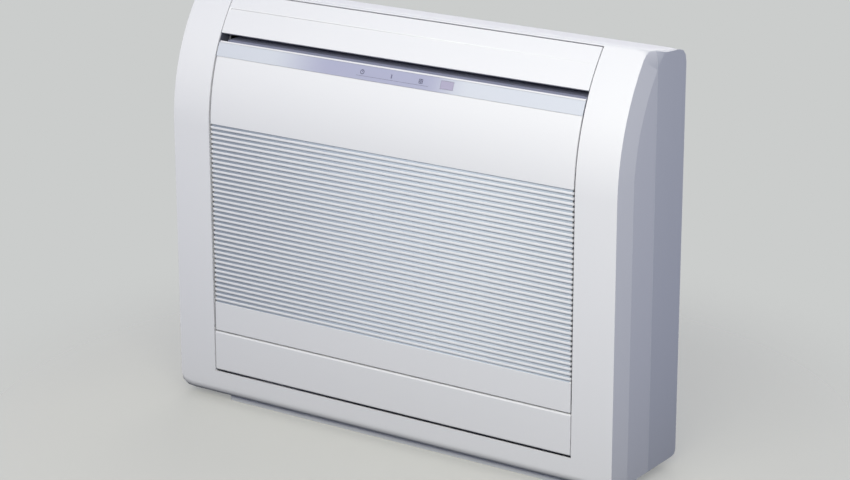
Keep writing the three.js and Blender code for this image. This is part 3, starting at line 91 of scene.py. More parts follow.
GROOVE_COUNT = 38
GROOVE_HEIGHT = 3.6 * MM
GROOVE_DEPTH = 4.6 * MM
GROOVE_SILL = 2 * MM              # the recess behind the slats slants up this much at its foot
SLAT_PITCH = 7.1 * MM
SLAT_FIRST_Z = 155.6 * MM         # middle of the lowest groove
SLAT_HALF = (SLAT_PITCH - GROOVE_HEIGHT) / 2
SLAT_LIP = 0.7 * MM               # radius of a slat's lower edge
SLAT_BROW = 1.0 * MM              # and of its upper one
SLAT_BACK = 4.8 * MM              # depth of a slat's rear face
SLAT_DRAFT = 0.5 * MM             # the underside climbs this much towards the back
SLAT_END_ROUND = 3 * MM
SLATS_LOW = SLAT_FIRST_Z - GROOVE_HEIGHT / 2
SLATS_HIGH = SLAT_FIRST_Z + (GROOVE_COUNT - 1) * SLAT_PITCH + GROOVE_HEIGHT / 2

SLOPE_NOSE = 0.8 * SLAT_BROW      # a groove's sloping floor starts this deep, behind the slat's brow,
SLOPE_TUCK = 0.1 * MM             # this far below the slat's top,
SLOPE_DEPTH = 2.9 * MM            # and ends this deep,
SLOPE_SLIT = 0.35 * MM            # this far below the slat above
SLOPE_SHORT = 2.4 * MM            # and this far from the panel's side

PAD_THICK = 0.8 * MM              # dark pads at the ends of the upper outlet's slot, painted shade on the columns' inner walls
PAD_INSET = 2 * MM
PAD_LOW_Z = 528 * MM
PAD_HIGH_Z = 549 * MM
PAD_BACK_Y = -31 * MM
PAD_EDGE_ROUND = 0.2 * MM

CLOCK_X = -50 * MM                # printed marks on the strip
CLOCK_RADIUS = 3.4 * MM
CLOCK_INNER_RADIUS = 2.35 * MM
HAND_THICK = 0.7 * MM
LONG_HAND = 1.9 * MM
LONG_HAND_UP = 0.9 * MM           # from the clock's middle to the hand's
SHORT_HAND = 1.7 * MM
SHORT_HAND_ACROSS = 0.7 * MM
SQUARE_X = 46 * MM
SQUARE_HALF = 2.8 * MM
SQUARE_LINE = 0.8 * MM
HATCH_STEP = 0.98 * MM            # across and down from one hatch line to the next
HATCH_LONG = 4.8 * MM
HATCH_THICK = 0.85 * MM
RULE_DROP = 5.4 * MM
RULE_LONG = 118 * MM
RULE_THICK = 0.35 * MM
MARK_PROUD = 0.02 * MM

EDGE_ROUND = {"front_casing": 1.1 * MM, "rear_casing": 1.1 * MM, "upper_flap": 1.2 * MM,
              "lower_flap": 1.2 * MM, "display_strip": 0.25 * MM, "base_plinth": 0.5 * MM}
SMALL_EDGE_ROUND = 0.2 * MM       # on every other piece
EDGE_ANGLE = math.radians(35)     # sharper folds than this are rounded
FLAT_ANGLE = math.radians(0.4)    # flatter ones are dissolved
WELD_REACH = 0.004 * MM           # and corners nearer than this are joined
SAME_SPOT = 0.01 * MM             # points nearer than this count as one
CREASE_ANGLE = math.radians(4)    # a fold past this is a crease on the casings
CREASE_FACING = 0.95              # where both its faces look this far sideways

# The photograph's viewpoint, for a frame of 850 by 480 pixels.
CAMERA_AZIMUTH = math.radians(34.256)
CAMERA_TILT = math.radians(17.495)
CAMERA_ROLL = math.radians(-0.117)
CAMERA_DISTANCE = 3.6318
CAMERA_TARGET = Vector((0.01163, 0, 0.28044))
CAMERA_REACH = 50
FOCAL_PIXELS = 2612.6
FRAME_WIDTH_PIXELS = 850
SENSOR_MM = 36

# Softboxes: place, aim, size, watts and tone.
SOFTBOXES = {
    "key": ((0.75, -1.8, 1.55), (0, 0, 0.35), (2.8, 0.8), 48.5, (1, 0.99, 0.89)),
    "back": ((-0.7, 2.3, 1.5), (0, 0, 0.3), (2.6, 1.2), 30, (1, 0.97, 0.88)),
    "top": ((0.1, -0.5, 2.3), (0, 0, 0.5), (1.8, 0.7), 3, (1, 0.95, 0.82)),
    "fill": ((-1.2, -1.9, 1.2), (0, 0, 0.3), (1.6, 1.0), 4.7, (1, 0.93, 0.82)),
}
BACKDROP_TONE = (0.597, 0.610, 0.604, 1)
SKY_TONE = (0.607, 0.672, 1.0, 1)
SKY_STRENGTH = {"From Min": -0.6, "From Max": 0.15, "To Min": 0.22, "To Max": 0.40}
FLOOR_RADIUS = 2.2
FLOOR_TONE = (0.66, 0.645, 0.58, 1)
FLOOR_BOUNCE_TONE = (0.04, 0.045, 0.055, 1)
FLOOR_ROUGHNESS = 0.9
FLOOR_FADE = {"From Min": 0.42, "From Max": 0.9, "To Min": 1.0, "To Max": 0.0}
FLOOR_SEEN = {"To Min": 1.0, "To Max": 0.55}

# ---------------------------------------------------------------- shader helpers


def add_node(tree, kind, values=None, **settings):
    """A shader node with its settings, such as an operation, and the values of its own sockets."""
    node = tree.nodes.new("ShaderNode" + kind)
    for name, value in settings.items():
        setattr(node, name, value)
    for name, value in (values or {}).items():
        node.inputs[name].default_value = value
    return node


def new_group(name, inputs, outputs):
    """An empty shader node group with its sockets, as (kind, name, value) and (kind, name)."""
    group = bpy.data.node_groups.new(name, "ShaderNodeTree")
    for kind, label, value in inputs:
        socket = group.interface.new_socket(label, in_out="INPUT", socket_type="NodeSocket" + kind)
        socket.default_value = value
    for kind, label in outputs:
        group.interface.new_socket(label, in_out="OUTPUT", socket_type="NodeSocket" + kind)
    return group, group.nodes.new("NodeGroupInput"), group.nodes.new("NodeGroupOutput")


def add_group(tree, group, values):
    """A node group placed in a material with its own values."""
    node = tree.nodes.new("ShaderNodeGroup")
    node.node_tree = group
    for name, value in values.items():
        node.inputs[name].default_value = value
    return node


# ---------------------------------------------------------------- camera, light and floor


def add_camera():
    """The camera turns round its target and looks at it."""
    az, el = CAMERA_AZIMUTH, CAMERA_TILT
    back = Vector((math.sin(az) * math.cos(el), -math.cos(az) * math.cos(el), math.sin(el)))
    right = Vector((math.cos(az), math.sin(az), 0))
    up = back.cross(right)
    turn = Matrix((right, up, back)).transposed() @ Matrix.Rotation(CAMERA_ROLL, 3, "Z")
    camera = bpy.data.objects.new("camera", bpy.data.cameras.new("camera"))
    camera.matrix_world = Matrix.Translation(CAMERA_TARGET + back * CAMERA_DISTANCE) @ turn.to_4x4()
    camera.data.sensor_width = SENSOR_MM
    camera.data.lens = FOCAL_PIXELS / FRAME_WIDTH_PIXELS * SENSOR_MM
    camera.data.clip_end = CAMERA_REACH
    bpy.context.scene.collection.objects.link(camera)
    bpy.context.scene.camera = camera


def add_softbox(name, place, aim, size, watts, tone):
    """A rectangular soft light at a place, turned towards its aim."""
    light = bpy.data.objects.new(name, bpy.data.lights.new(name, "AREA"))
    light.data.shape = "RECTANGLE"
    light.data.size, light.data.size_y = size
    light.data.energy = watts
    light.data.color = tone
    light.location = place
    light.rotation_euler = (Vector(aim) - Vector(place)).to_track_quat("-Z", "Y").to_euler()
    bpy.context.scene.collection.objects.link(light)


def add_world():
    """An even pale backdrop for the eye, and a sky that is dim below the horizon for the rest."""
    world = bpy.data.worlds.new("studio")
    bpy.context.scene.world = world
    world.use_nodes = True
    tree = world.node_tree
    link = tree.links.new
    sky = tree.nodes["Background"]
    sky.inputs["Color"].default_value = SKY_TONE
    toward = add_node(tree, "TexCoord")
    parts = add_node(tree, "SeparateXYZ")
    height = add_node(tree, "MapRange", SKY_STRENGTH, interpolation_type="SMOOTHSTEP")
    seen = add_node(tree, "Background", {"Color": BACKDROP_TONE})
    path = add_node(tree, "LightPath")
    mix = add_node(tree, "MixShader")
    link(toward.outputs["Generated"], parts.inputs["Vector"])
    link(parts.outputs["Z"], height.inputs["Value"])
    link(height.outputs["Result"], sky.inputs["Strength"])
    link(path.outputs["Is Camera Ray"], mix.inputs["Fac"])
    link(sky.outputs["Background"], mix.inputs[1])
    link(seen.outputs["Background"], mix.inputs[2])
    link(mix.outputs["Shader"], tree.nodes["World Output"].inputs["Surface"])


def floor_finish():
    """Pale to the eye, dark to the light that it would throw back up, and clear away from the object."""
    material = bpy.data.materials.new("pale_floor")
    material.use_nodes = True
    tree = material.node_tree
    link = tree.links.new
    shader = tree.nodes["Principled BSDF"]
    shader.inputs["Roughness"].default_value = FLOOR_ROUGHNESS
    path = add_node(tree, "LightPath")
    tone = add_node(tree, "Mix", data_type="RGBA")
    tone.inputs["A"].default_value = FLOOR_BOUNCE_TONE
    tone.inputs["B"].default_value = FLOOR_TONE
    place = add_node(tree, "TexCoord")
    reach = add_node(tree, "VectorMath", operation="LENGTH")
    fade = add_node(tree, "MapRange", FLOOR_FADE, interpolation_type="SMOOTHERSTEP")
    thin = add_node(tree, "MapRange", FLOOR_SEEN)
    cover = add_node(tree, "Math", operation="MULTIPLY")
    link(path.outputs["Is Camera Ray"], tone.inputs["Factor"])
    link(tone.outputs["Result"], shader.inputs["Base Color"])
    link(place.outputs["Object"], reach.inputs[0])
    link(reach.outputs["Value"], fade.inputs["Value"])
    link(path.outputs["Is Camera Ray"], thin.inputs["Value"])
    link(fade.outputs["Result"], cover.inputs[0])
    link(thin.outputs["Result"], cover.inputs[1])
    link(cover.outputs["Value"], shader.inputs["Alpha"])
    return material


def add_floor():
    """A round floor that fades into the backdrop."""
    bm = bmesh.new()
    bmesh.ops.create_circle(bm, cap_ends=True, segments=96, radius=FLOOR_RADIUS)
    mesh = bpy.data.meshes.new("floor")
    bm.to_mesh(mesh)
    bm.free()
    mesh.materials.append(floor_finish())
    floor = bpy.data.objects.new("floor", mesh)
    bpy.context.scene.collection.objects.link(floor)


# ---------------------------------------------------------------- shared effects


def make_grain_group():
    """Fine moulded or cast grain as a height, from Object coordinates."""
    group, given, out = new_group(
        "surface_grain",
        [("Float", "Scale", 900.0), ("Float", "Roughness", 0.6)],
        [("Float", "Height")])
    link = group.links.new
    place = add_node(group, "TexCoord")
    noise = add_node(group, "TexNoise", {"Detail": 2})
    link(place.outputs["Object"], noise.inputs["Vector"])
    link(given.outputs["Scale"], noise.inputs["Scale"])
    link(given.outputs["Roughness"], noise.inputs["Roughness"])
    link(noise.outputs["Fac"], out.inputs["Height"])
    return group


def make_drift_group():
    """A slow drift between two close tones, with a matching drift in roughness."""
    group, given, out = new_group(
        "tone_drift",
        [("Color", "Light Tone", (1, 1, 1, 1)), ("Color", "Dark Tone", (0.9, 0.9, 0.9, 1)),
         ("Float", "Scale", 9.0), ("Float", "Low Roughness", 0.4), ("Float", "High Roughness", 0.5)],
        [("Color", "Color"), ("Float", "Roughness")])
    link = group.links.new
    place = add_node(group, "TexCoord")
    noise = add_node(group, "TexNoise", {"Detail": 3})
    tone = add_node(group, "Mix", data_type="RGBA")
    gloss = add_node(group, "MapRange")
    link(place.outputs["Object"], noise.inputs["Vector"])
    link(given.outputs["Scale"], noise.inputs["Scale"])
    link(noise.outputs["Fac"], tone.inputs["Factor"])
    link(given.outputs["Light Tone"], tone.inputs["A"])
    link(given.outputs["Dark Tone"], tone.inputs["B"])
    link(noise.outputs["Fac"], gloss.inputs["Value"])
    link(given.outputs["Low Roughness"], gloss.inputs["To Min"])
    link(given.outputs["High Roughness"], gloss.inputs["To Max"])
    link(tone.outputs["Result"], out.inputs["Color"])
    link(gloss.outputs["Result"], out.inputs["Roughness"])
    return group


def make_thread_group():
    """Fine upright and level threads as a mask, from Object coordinates: 1 on a thread, 0 in a hole."""
    group, given, out = new_group(
        "fine_threads",
        [("Float", "Upright Scale", 196.0), ("Float", "Level Scale", 196.0)],
        [("Float", "Mask")])
    link = group.links.new
    place = add_node(group, "TexCoord")
    either = add_node(group, "Math", operation="MAXIMUM")
    for index, (label, direction) in enumerate((("Upright Scale", "X"), ("Level Scale", "Z"))):
        wave = add_node(group, "TexWave", bands_direction=direction)
        link(place.outputs["Object"], wave.inputs["Vector"])
        link(given.outputs[label], wave.inputs["Scale"])
        link(wave.outputs["Fac"], either.inputs[index])
    link(either.outputs["Value"], out.inputs["Mask"])
    return group


GRAIN = make_grain_group()
DRIFT = make_drift_group()
THREADS = make_thread_group()

# ---------------------------------------------------------------- kinds of finish


def finish(name, light, dark, roughness, grain, bump, drift=9, metallic=0.0):
    """A moulded, cast or rolled surface: drifting tone and gloss, with a fine grain `bump` mm high."""
    material = bpy.data.materials.new(name)
    material.use_nodes = True
    tree = material.node_tree
    link = tree.links.new
    shader = tree.nodes["Principled BSDF"]
    shader.inputs["Metallic"].default_value = metallic
    tone = add_group(tree, DRIFT, {"Light Tone": (*light, 1), "Dark Tone": (*dark, 1), "Scale": drift,
                                   "Low Roughness": roughness[0], "High Roughness": roughness[1]})
    texture = add_group(tree, GRAIN, {"Scale": grain})
    relief = add_node(tree, "Bump", {"Strength": 1.0, "Distance": bump * MM})
    link(tone.outputs["Color"], shader.inputs["Base Color"])
    link(tone.outputs["Roughness"], shader.inputs["Roughness"])
    link(texture.outputs["Height"], relief.inputs["Height"])
    link(relief.outputs["Normal"], shader.inputs["Normal"])
    return material


def add_threads(material, hole, upright, level, bump):
    """Weaves or ribs a finish: its holes get a dark tone, painted shade seen through them, and its threads
    stand `bump` mm proud.
    """
    tree = material.node_tree
    link = tree.links.new
    shader = tree.nodes["Principled BSDF"]
    thread_tone = shader.inputs["Base Color"].links[0].from_socket
    grain = shader.inputs["Normal"].links[0].from_socket
    threads = add_group(tree, THREADS, {"Upright Scale": upright, "Level Scale": level})
    tone = add_node(tree, "Mix", data_type="RGBA")
    tone.inputs["A"].default_value = (*hole, 1)
    relief = add_node(tree, "Bump", {"Distance": bump * MM})
    link(threads.outputs["Mask"], tone.inputs["Factor"])
    link(thread_tone, tone.inputs["B"])
    link(tone.outputs["Result"], shader.inputs["Base Color"])
    link(threads.outputs["Mask"], relief.inputs["Height"])
    link(grain, relief.inputs["Normal"])
    link(relief.outputs["Normal"], shader.inputs["Normal"])
    return material


def fade_ends(material, pale, left, right):
    """Fades a finish to a paler tone between two places, given as x, towards each end."""
    tree = material.node_tree
    link = tree.links.new
    shader = tree.nodes["Principled BSDF"]
    middle_tone = shader.inputs["Base Color"].links[0].from_socket
    place = add_node(tree, "TexCoord")
    parts = add_node(tree, "SeparateXYZ")
    fade = add_node(tree, "Math", operation="MAXIMUM")
    link(place.outputs["Object"], parts.inputs["Vector"])
    for index, (near, far) in enumerate((left, right)):
        side = add_node(tree, "MapRange", {"From Min": near, "From Max": far},
                        interpolation_type="SMOOTHSTEP")
        link(parts.outputs["X"], side.inputs["Value"])
        link(side.outputs["Result"], fade.inputs[index])
    tone = add_node(tree, "Mix", data_type="RGBA")
    tone.inputs["B"].default_value = (*pale, 1)
    link(fade.outputs["Value"], tone.inputs["Factor"])
    link(middle_tone, tone.inputs["A"])
    link(tone.outputs["Result"], shader.inputs["Base Color"])
    return material


# ---------------------------------------------------------------- meshes


def front_y(z):
    """Where the front skin lies at a height."""
    rise = max(0.0, z - CURVE_START_Z)
    return FRONT_Y + CURVE_RADIUS - math.sqrt(CURVE_RADIUS ** 2 - rise ** 2)


def lean_at(z):
    """How far the front skin leans back at a height."""
    return math.asin(max(0.0, z - CURVE_START_Z) / CURVE_RADIUS)


def behind(z, depth):
    """The (y, z) point that lies `depth` straight behind the front skin."""
    lean = lean_at(z)
    return front_y(z) + depth * math.cos(lean), z - depth * math.sin(lean)


def between(low, high, steps):
    """Evenly spaced values from low to high, both included."""
    return [low + (high - low) * i / steps for i in range(steps + 1)]


def swept(profile, stations):
    """A closed (y, z) outline pushed through the x stations and capped at both ends."""
    bm = bmesh.new()
    ring = [bm.verts.new((stations[0], y, z)) for y, z in profile]
    loop = [bm.edges.new(pair) for pair in zip(ring, ring[1:] + ring[:1])]
    bmesh.ops.contextual_create(bm, geom=loop)
    for here, there in zip(stations, stations[1:]):
        made = bmesh.ops.extrude_edge_only(bm, edges=loop)["geom"]
        fresh = {item for item in made if isinstance(item, bmesh.types.BMVert)}
        bmesh.ops.translate(bm, verts=list(fresh), vec=(there - here, 0, 0))
        loop = [item for item in made
                if isinstance(item, bmesh.types.BMEdge) and set(item.verts) <= fresh]
    bmesh.ops.contextual_create(bm, geom=loop)
    bmesh.ops.recalc_face_normals(bm, faces=bm.faces)
    return bm


def gathered(parts):
    """Several meshes as one."""
    whole = bmesh.new()
    for part in parts:
        mesh = bpy.data.meshes.new("part")
        part.to_mesh(mesh)
        part.free()
        whole.from_mesh(mesh)
        bpy.data.meshes.remove(mesh)
    return whole


def piece(name, bm, material, body, *replaced):
    """A new piece with its finish, which rides on a body and may stand for nodes of the frame."""
    for face in bm.faces:
        face.smooth = True
    mesh = bpy.data.meshes.new(name)
    bm.to_mesh(mesh)
    bm.free()
    mesh.materials.append(material)
    thing = bpy.data.objects.new(name, mesh)
    bpy.context.scene.collection.objects.link(thing)
    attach(thing, body)
    if replaced:
        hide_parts(*replaced)
    return thing


def soften(thing, width, segments=2):
    """Rounded edges and even shading, as modifiers."""
    bevel = thing.modifiers.new("rounded_edges", "BEVEL")
    bevel.width = width
    bevel.segments = segments
    bevel.limit_method = "ANGLE"
    bevel.angle_limit = EDGE_ANGLE
    bevel.use_clamp_overlap = True
    bevel.harden_normals = True
    normals = thing.modifiers.new("even_shading", "WEIGHTED_NORMAL")
    normals.keep_sharp = True


def clean_node(node, width):
    """Joins a node's loose triangles into faces, rounds its edges and evens its shading."""
    for polygon in node.data.polygons:
        polygon.use_smooth = True
    weld = node.modifiers.new("joined_triangles", "WELD")
    weld.merge_threshold = WELD_REACH
    flat = node.modifiers.new("whole_faces", "DECIMATE")
    flat.decimate_type = "DISSOLVE"
    flat.angle_limit = FLAT_ANGLE
    soften(node, width)


def mark_creases(node):
    """Shades the fold between two faces that both look sideways as a crease, as at a slanted band."""
    mesh = node.data

    def spot(index):
        return tuple(round(value / SAME_SPOT) for value in mesh.vertices[index].co)

    normals = {}
    for polygon in mesh.polygons:
        for pair in polygon.edge_keys:
            normals.setdefault(frozenset(map(spot, pair)), []).append(polygon.normal.copy())
    for edge in mesh.edges:
        faces = normals.get(frozenset(map(spot, edge.vertices)), [])
        if len(faces) == 2 and all(abs(normal.x) > CREASE_FACING for normal in faces):
            edge.use_edge_sharp = faces[0].angle(faces[1], 0) > CREASE_ANGLE


# ---------------------------------------------------------------- intake panel


def arc(centre_depth, centre_z, radius, start, end, steps=4):
    """Points on an arc as (depth, height); 180 degrees looks out of the panel and 90 degrees up."""
    angles = [math.radians(angle) for angle in between(start, end, steps)]
    return [(centre_depth + radius * math.cos(angle), centre_z + radius * math.sin(angle))
            for angle in angles]


def slat_rows():
    """The height of each slat's middle."""
    return [SLAT_FIRST_Z + (index + 0.5) * SLAT_PITCH for index in range(GROOVE_COUNT - 1)]


def at_height(middle, outline):
    """An outline of (depth, height) points placed on the front skin."""
    return [(front_y(middle) + depth, middle + z) for depth, z in outline]


def slat_profile(middle):
    """One slat: a flat face with a tight lower edge and a softer upper one."""
    outline = [(SLAT_BACK, -SLAT_HALF + SLAT_DRAFT)]
    outline += arc(SLAT_LIP, -SLAT_HALF + SLAT_LIP, SLAT_LIP, 270, 180)
    outline += arc(SLAT_BROW, SLAT_HALF - SLAT_BROW, SLAT_BROW, 180, 90)
    outline.append((SLAT_BACK, SLAT_HALF))
    return at_height(middle, outline)


def slope_profile(middle):
    """The groove's floor above a slat, which climbs back to a slit under the next slat."""
    foot = SLAT_HALF - SLAT_BROW
    top = SLAT_PITCH - SLAT_HALF - SLOPE_SLIT
    return at_height(middle, [(SLAT_BACK, foot), (SLOPE_NOSE, foot), (SLOPE_NOSE, SLAT_HALF - SLOPE_TUCK),
                              (SLOPE_DEPTH, top), (SLAT_BACK, top)])


def end_stations(radius, steps=5):
    """X stations that crowd towards each end, where the front rounds off."""
    inward = [radius * (1 - math.sin(angle)) for angle in between(0, math.pi / 2, steps)]
    ends = [PANEL_HALF - step for step in inward]
    return sorted([-x for x in ends] + ends)


def round_ends(bm, radius):
    """Sinks the front at each end on an arc."""
    for vert in bm.verts:
        into = max(0.0, abs(vert.co.x) - (PANEL_HALF - radius))
        sink = radius - math.sqrt(max(0.0, radius ** 2 - into ** 2))
        depth = vert.co.y - front_y(vert.co.z)
        vert.co.y += max(0.0, sink - depth)


def make_slats(material):
    """The slats between the grooves, over the whole width of the panel."""
    slats = [swept(slat_profile(middle), end_stations(SLAT_END_ROUND)) for middle in slat_rows()]
    for slat in slats:
        round_ends(slat, SLAT_END_ROUND)
    piece("intake_slats", gathered(slats), material, "panel")


def make_slopes(material):
    """The grooves' sloping floors, one above each slat and one above the plain border."""
    end = PANEL_HALF - SLOPE_SHORT
    rows = [SLAT_FIRST_Z - SLAT_PITCH / 2, *slat_rows()]
    slopes = [swept(slope_profile(middle), [-end, end]) for middle in rows]
    piece("groove_floors", gathered(slopes), material, "panel")


def panel_profile():
    """The panel's section: plain below, set back behind the slats, plain above, with the strip's pocket."""
    sill = SLATS_LOW + GROOVE_SILL
    pocket_low, pocket_high = STRIP_LOW.z - STRIP_GAP, STRIP_HIGH.z + STRIP_GAP
    curve = between(SLATS_HIGH, pocket_low, CURVE_STEPS)[1:-1]
    pocket = between(pocket_low, pocket_high, POCKET_STEPS)
    front = [(PANEL_LOW.z, 0), (SLATS_LOW, 0), (sill, GROOVE_DEPTH)]
    front += [(SLATS_HIGH, GROOVE_DEPTH), (SLATS_HIGH, 0)]
    front += [(z, 0) for z in [*curve, pocket_low]]
    front += [(z, STRIP_POCKET) for z in pocket]
    front += [(z, 0) for z in (pocket_high, PANEL_HIGH.z)]
    back = [PANEL_HIGH.z, *reversed(pocket), *reversed(curve), SLATS_HIGH, sill, PANEL_LOW.z]
    return [behind(z, depth) for z, depth in front] + [behind(z, PANEL_THICK) for z in back]


def cut_windows(bm, windows):
    """Opens the sheet behind the slats, between the x stations of each window."""
    middle_z = (SLATS_LOW + GROOVE_SILL + SLATS_HIGH) / 2
    for left, right in windows:
        faces = []
        for face in bm.faces:
            middle = face.calc_center_median()
            if left < middle.x < right and abs(middle.z - middle_z) < WINDOW_REACH:
                faces.append(face)
        edges = [edge for face in faces for edge in face.edges]
        bmesh.ops.delete(bm, geom=faces, context="FACES_ONLY")
        bmesh.ops.bridge_loops(bm, edges=[edge for edge in edges if edge.is_valid])


def make_panel_frame(material):
    """The panel without its slats: a sheet with four windows that the slats cross, and undercut sides."""
    border = PANEL_HALF - PANEL_BORDER
    span = (2 * border - RIB_COUNT * RIB_WIDTH) / (RIB_COUNT + 1)
    lefts = [-border + index * (span + RIB_WIDTH) for index in range(RIB_COUNT + 1)]
    windows = [(left, left + span) for left in lefts]
    stations = sorted(end_stations(PANEL_SIDE_ROUND) + [x for window in windows for x in window])
    bm = swept(panel_profile(), stations)
    cut_windows(bm, windows)
    round_ends(bm, PANEL_SIDE_ROUND)
    for vert in bm.verts:
        depth = vert.co.y - front_y(vert.co.z)
        if abs(vert.co.x) > border + MM and depth > GROOVE_DEPTH / 2:
            vert.co.x -= math.copysign(SLOPE_SHORT, vert.co.x)
    bmesh.ops.recalc_face_normals(bm, faces=bm.faces)
    sheet = piece("intake_frame", bm, material, "panel", "front_panel")
    soften(sheet, PANEL_EDGE_ROUND, segments=3)


# ---------------------------------------------------------------- painted shade pads


def make_shade_pads(material):
    """A dark pad on each column's inner wall at the ends of the upper outlet's slot, painted shade over the
    white wall.
    """
    outline = [behind(PAD_LOW_Z, PAD_INSET), behind(PAD_HIGH_Z, PAD_INSET),
               (PAD_BACK_Y, PAD_HIGH_Z), (PAD_BACK_Y, PAD_LOW_Z)]
    inner_x, outer_x = OPENING_HALF - PAD_THICK, OPENING_HALF
    pads = [swept(outline, stations) for stations in ((-outer_x, -inner_x), (inner_x, outer_x))]
    pad = piece("slot_end_shade_pads", gathered(pads), material, "housing")
    soften(pad, PAD_EDGE_ROUND)


# ---------------------------------------------------------------- printed marks


def strip_frame(x):
    """A frame on the strip: x across, y up the skin, z out of it."""
    lean = lean_at(STRIP_MIDDLE_Z)
    across = Vector((1, 0, 0))
    rise = Vector((0, math.sin(lean), math.cos(lean)))
    outward = across.cross(rise)
    turn = Matrix((across, rise, outward)).transposed().to_4x4()
    place = Vector((x, front_y(STRIP_MIDDLE_Z), STRIP_MIDDLE_Z)) + outward * MARK_PROUD
    return Matrix.Translation(place) @ turn


def add_bar(bm, spot, x, y, length, thick, angle=0.0):
    """A flat printed bar centred at (x, y) in a strip frame."""
    place = Matrix.Translation((x, y, 0)) @ Matrix.Rotation(math.radians(angle), 4, "Z")
    bar = bmesh.ops.create_grid(bm, x_segments=1, y_segments=1, size=0.5)["verts"]
    bmesh.ops.transform(bm, matrix=spot @ place @ Matrix.Diagonal((length, thick, 1, 1)), verts=bar)


def add_clock(bm):
    """A ring with two hands."""
    spot = strip_frame(CLOCK_X)
    rim = bmesh.ops.create_circle(bm, segments=32, radius=CLOCK_RADIUS)["verts"]
    rim += bmesh.ops.create_circle(bm, segments=32, radius=CLOCK_INNER_RADIUS)["verts"]
    bmesh.ops.bridge_loops(bm, edges=list(bm.edges))
    bmesh.ops.transform(bm, matrix=spot, verts=rim)
    add_bar(bm, spot, 0, LONG_HAND_UP, HAND_THICK, LONG_HAND)
    add_bar(bm, spot, SHORT_HAND_ACROSS, 0, SHORT_HAND, HAND_THICK)


def add_hatched_square(bm):
    """An outlined square with three slanted lines in it."""
    spot = strip_frame(SQUARE_X)
    for side in (SQUARE_HALF, -SQUARE_HALF):
        add_bar(bm, spot, 0, side, 2 * SQUARE_HALF, SQUARE_LINE)
        add_bar(bm, spot, side, 0, SQUARE_LINE, 2 * SQUARE_HALF)
    for shift in (-HATCH_STEP, 0, HATCH_STEP):
        add_bar(bm, spot, shift, -shift, HATCH_LONG, HATCH_THICK, 45)


def make_marks(material):
    """The clock, the hatched square and the rule under them, printed on the strip."""
    bm = bmesh.new()
    add_clock(bm)
    add_hatched_square(bm)
    add_bar(bm, strip_frame(0), 0, -RULE_DROP, RULE_LONG, RULE_THICK)
    piece("printed_marks", bm, material, "panel")


# ---------------------------------------------------------------- finishes

white = finish("satin_white", (0.81, 0.81, 0.815), (0.795, 0.797, 0.805),
               roughness=(0.38, 0.46), grain=1400, bump=0.03)
# painted shade: a darker copy of the satin white for the rear casing, standing in for its shade away from
# the light
rear_white_painted_shade = finish("rear_shell_painted_shade", (0.69, 0.70, 0.72), (0.67, 0.68, 0.705),
                    roughness=(0.40, 0.48), grain=1400, bump=0.03)
# painted shade: a blue-grey on the groove floors that stands in for the shade in the grooves between the
# white slats
groove_painted_shade = finish("groove_floor_painted_shade", (0.49, 0.545, 0.615), (0.465, 0.52, 0.595),
                     roughness=(0.42, 0.5), grain=1400, bump=0.03)
outlet_dark = finish("outlet_moulding", (0.27, 0.285, 0.40), (0.25, 0.265, 0.375),
                     roughness=(0.45, 0.55), grain=900, bump=0.03)
inner = finish("inner_moulding", (0.66, 0.68, 0.71), (0.60, 0.62, 0.66),
               roughness=(0.5, 0.6), grain=900, bump=0.03)
charcoal = finish("charcoal_moulding", (0.045, 0.05, 0.06), (0.035, 0.04, 0.048),
                  roughness=(0.5, 0.65), grain=900, bump=0.04)
fan_grey = finish("fan_moulding", (0.32, 0.34, 0.37), (0.28, 0.30, 0.33),
                  roughness=(0.45, 0.6), grain=700, bump=0.04)
copper = finish("copper_tube", (0.72, 0.36, 0.22), (0.55, 0.27, 0.16),
                roughness=(0.25, 0.45), grain=300, bump=0.03, metallic=1.0)
steel = finish("galvanised_sheet", (0.55, 0.57, 0.59), (0.44, 0.46, 0.48),
               roughness=(0.35, 0.55), grain=260, bump=0.03, drift=60, metallic=0.9)
board = finish("circuit_board", (0.03, 0.16, 0.07), (0.02, 0.12, 0.05),
               roughness=(0.35, 0.5), grain=500, bump=0.08)
# painted shade: the dark pads stand in for the shade on the columns' white inner walls at the slot's ends
painted_shade_pad = finish("painted_shade_pad", (0.09, 0.095, 0.13), (0.07, 0.075, 0.105),
                   roughness=(0.8, 0.9), grain=500, bump=0.12)
print_ink = finish("print_ink", (0.09, 0.09, 0.15), (0.075, 0.075, 0.13),
                   roughness=(0.4, 0.5), grain=1400, bump=0.01)
lamp_lens = finish("lamp_lens", (0.25, 0.25, 0.36), (0.21, 0.21, 0.32),
                   roughness=(0.2, 0.3), grain=1400, bump=0.01)
receiver_lens = finish("receiver_lens", (0.41, 0.385, 0.51), (0.38, 0.355, 0.48),
                       roughness=(0.15, 0.25), grain=1400, bump=0.01)
# the filter net's and the fins' hole tones are painted shade in the gaps
filter_net = add_threads(
    finish("filter_net", (0.10, 0.105, 0.12), (0.08, 0.085, 0.10),
           roughness=(0.6, 0.75), grain=700, bump=0.02),
    hole=(0.018, 0.019, 0.024), upright=150, level=150, bump=0.3)
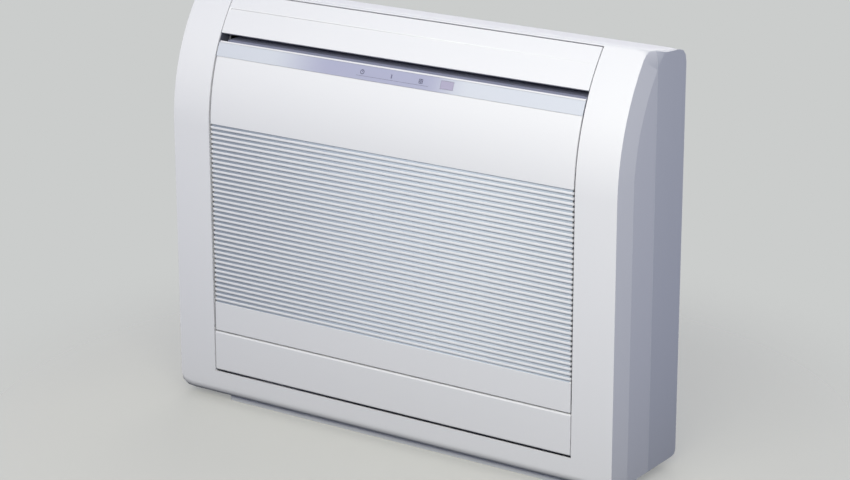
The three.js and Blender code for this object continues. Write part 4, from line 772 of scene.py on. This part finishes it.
fin_stock = add_threads(
    finish("fin_stock", (0.62, 0.64, 0.66), (0.50, 0.52, 0.55),
           roughness=(0.3, 0.5), grain=300, bump=0.05, metallic=0.9),
    hole=(0.10, 0.11, 0.12), upright=175, level=0, bump=0.5)
lavender = fade_ends(
    finish("lavender_strip", (0.41, 0.42, 0.55), (0.39, 0.40, 0.535),
           roughness=(0.28, 0.36), grain=1400, bump=0.02),
    pale=(0.63, 0.66, 0.71), left=(-0.10, -0.215), right=(0.05, 0.125))

# Every node that isn't named here is a plain inner moulding.
FINISHED_NODES = (
    (white, ["front_casing", "upper_flap", "lower_flap", "front_panel", "manual_button"]),
    (rear_white_painted_shade, ["rear_casing"]),
    (lavender, ["display_strip", "timer_lamp", "filter_lamp"]),
    (lamp_lens, ["operation_lamp"]),
    (receiver_lens, ["receiver_window"]),
    (fan_grey, ["turbo_fan"]),
    (fin_stock, ["exchanger_fins"]),
    (copper, ["coil_end_left", "coil_end_right", "gas_pipe", "liquid_pipe"]),
    (charcoal, ["drain_pan", "terminal_block", "room_sensor"]),
    (filter_net, ["air_filter_left", "air_filter_right"]),
    (board, ["control_board", "display_board"]),
    (outlet_dark, ["air_duct", "vane_rail", "link_bar_left", "link_bar_right"]),
    (outlet_dark, [name for name in nodes if name.startswith("louvre_")]),
    (steel, ["upper_flap_motor", "lower_flap_motor", "motor_shaft", "fan_nut", "fan_motor", "motor_bracket",
             "control_box", "control_cover", "wall_bracket", "casing_screw_left", "casing_screw_right",
             "cover_screw_1", "cover_screw_2"]),
)


def dress_nodes():
    """Gives every node of the frame its finish and its rounded edges."""
    node_finish = {name: material for material, names in FINISHED_NODES for name in names}
    for name, node in nodes.items():
        node.data.materials.clear()
        node.data.materials.append(node_finish.get(name, inner))
        clean_node(node, EDGE_ROUND.get(name, SMALL_EDGE_ROUND))
    for name in ("front_casing", "rear_casing"):
        mark_creases(nodes[name])


# ---------------------------------------------------------------- the scene

dress_nodes()
add_camera()
add_world()
add_floor()
for label, settings in SOFTBOXES.items():
    add_softbox(label, *settings)

make_panel_frame(white)
make_slats(white)
# the groove floors carry the blue-grey painted shade
make_slopes(groove_painted_shade)
make_marks(print_ink)
make_shade_pads(painted_shade_pad)

bpy.context.scene.view_settings.view_transform = "Standard"
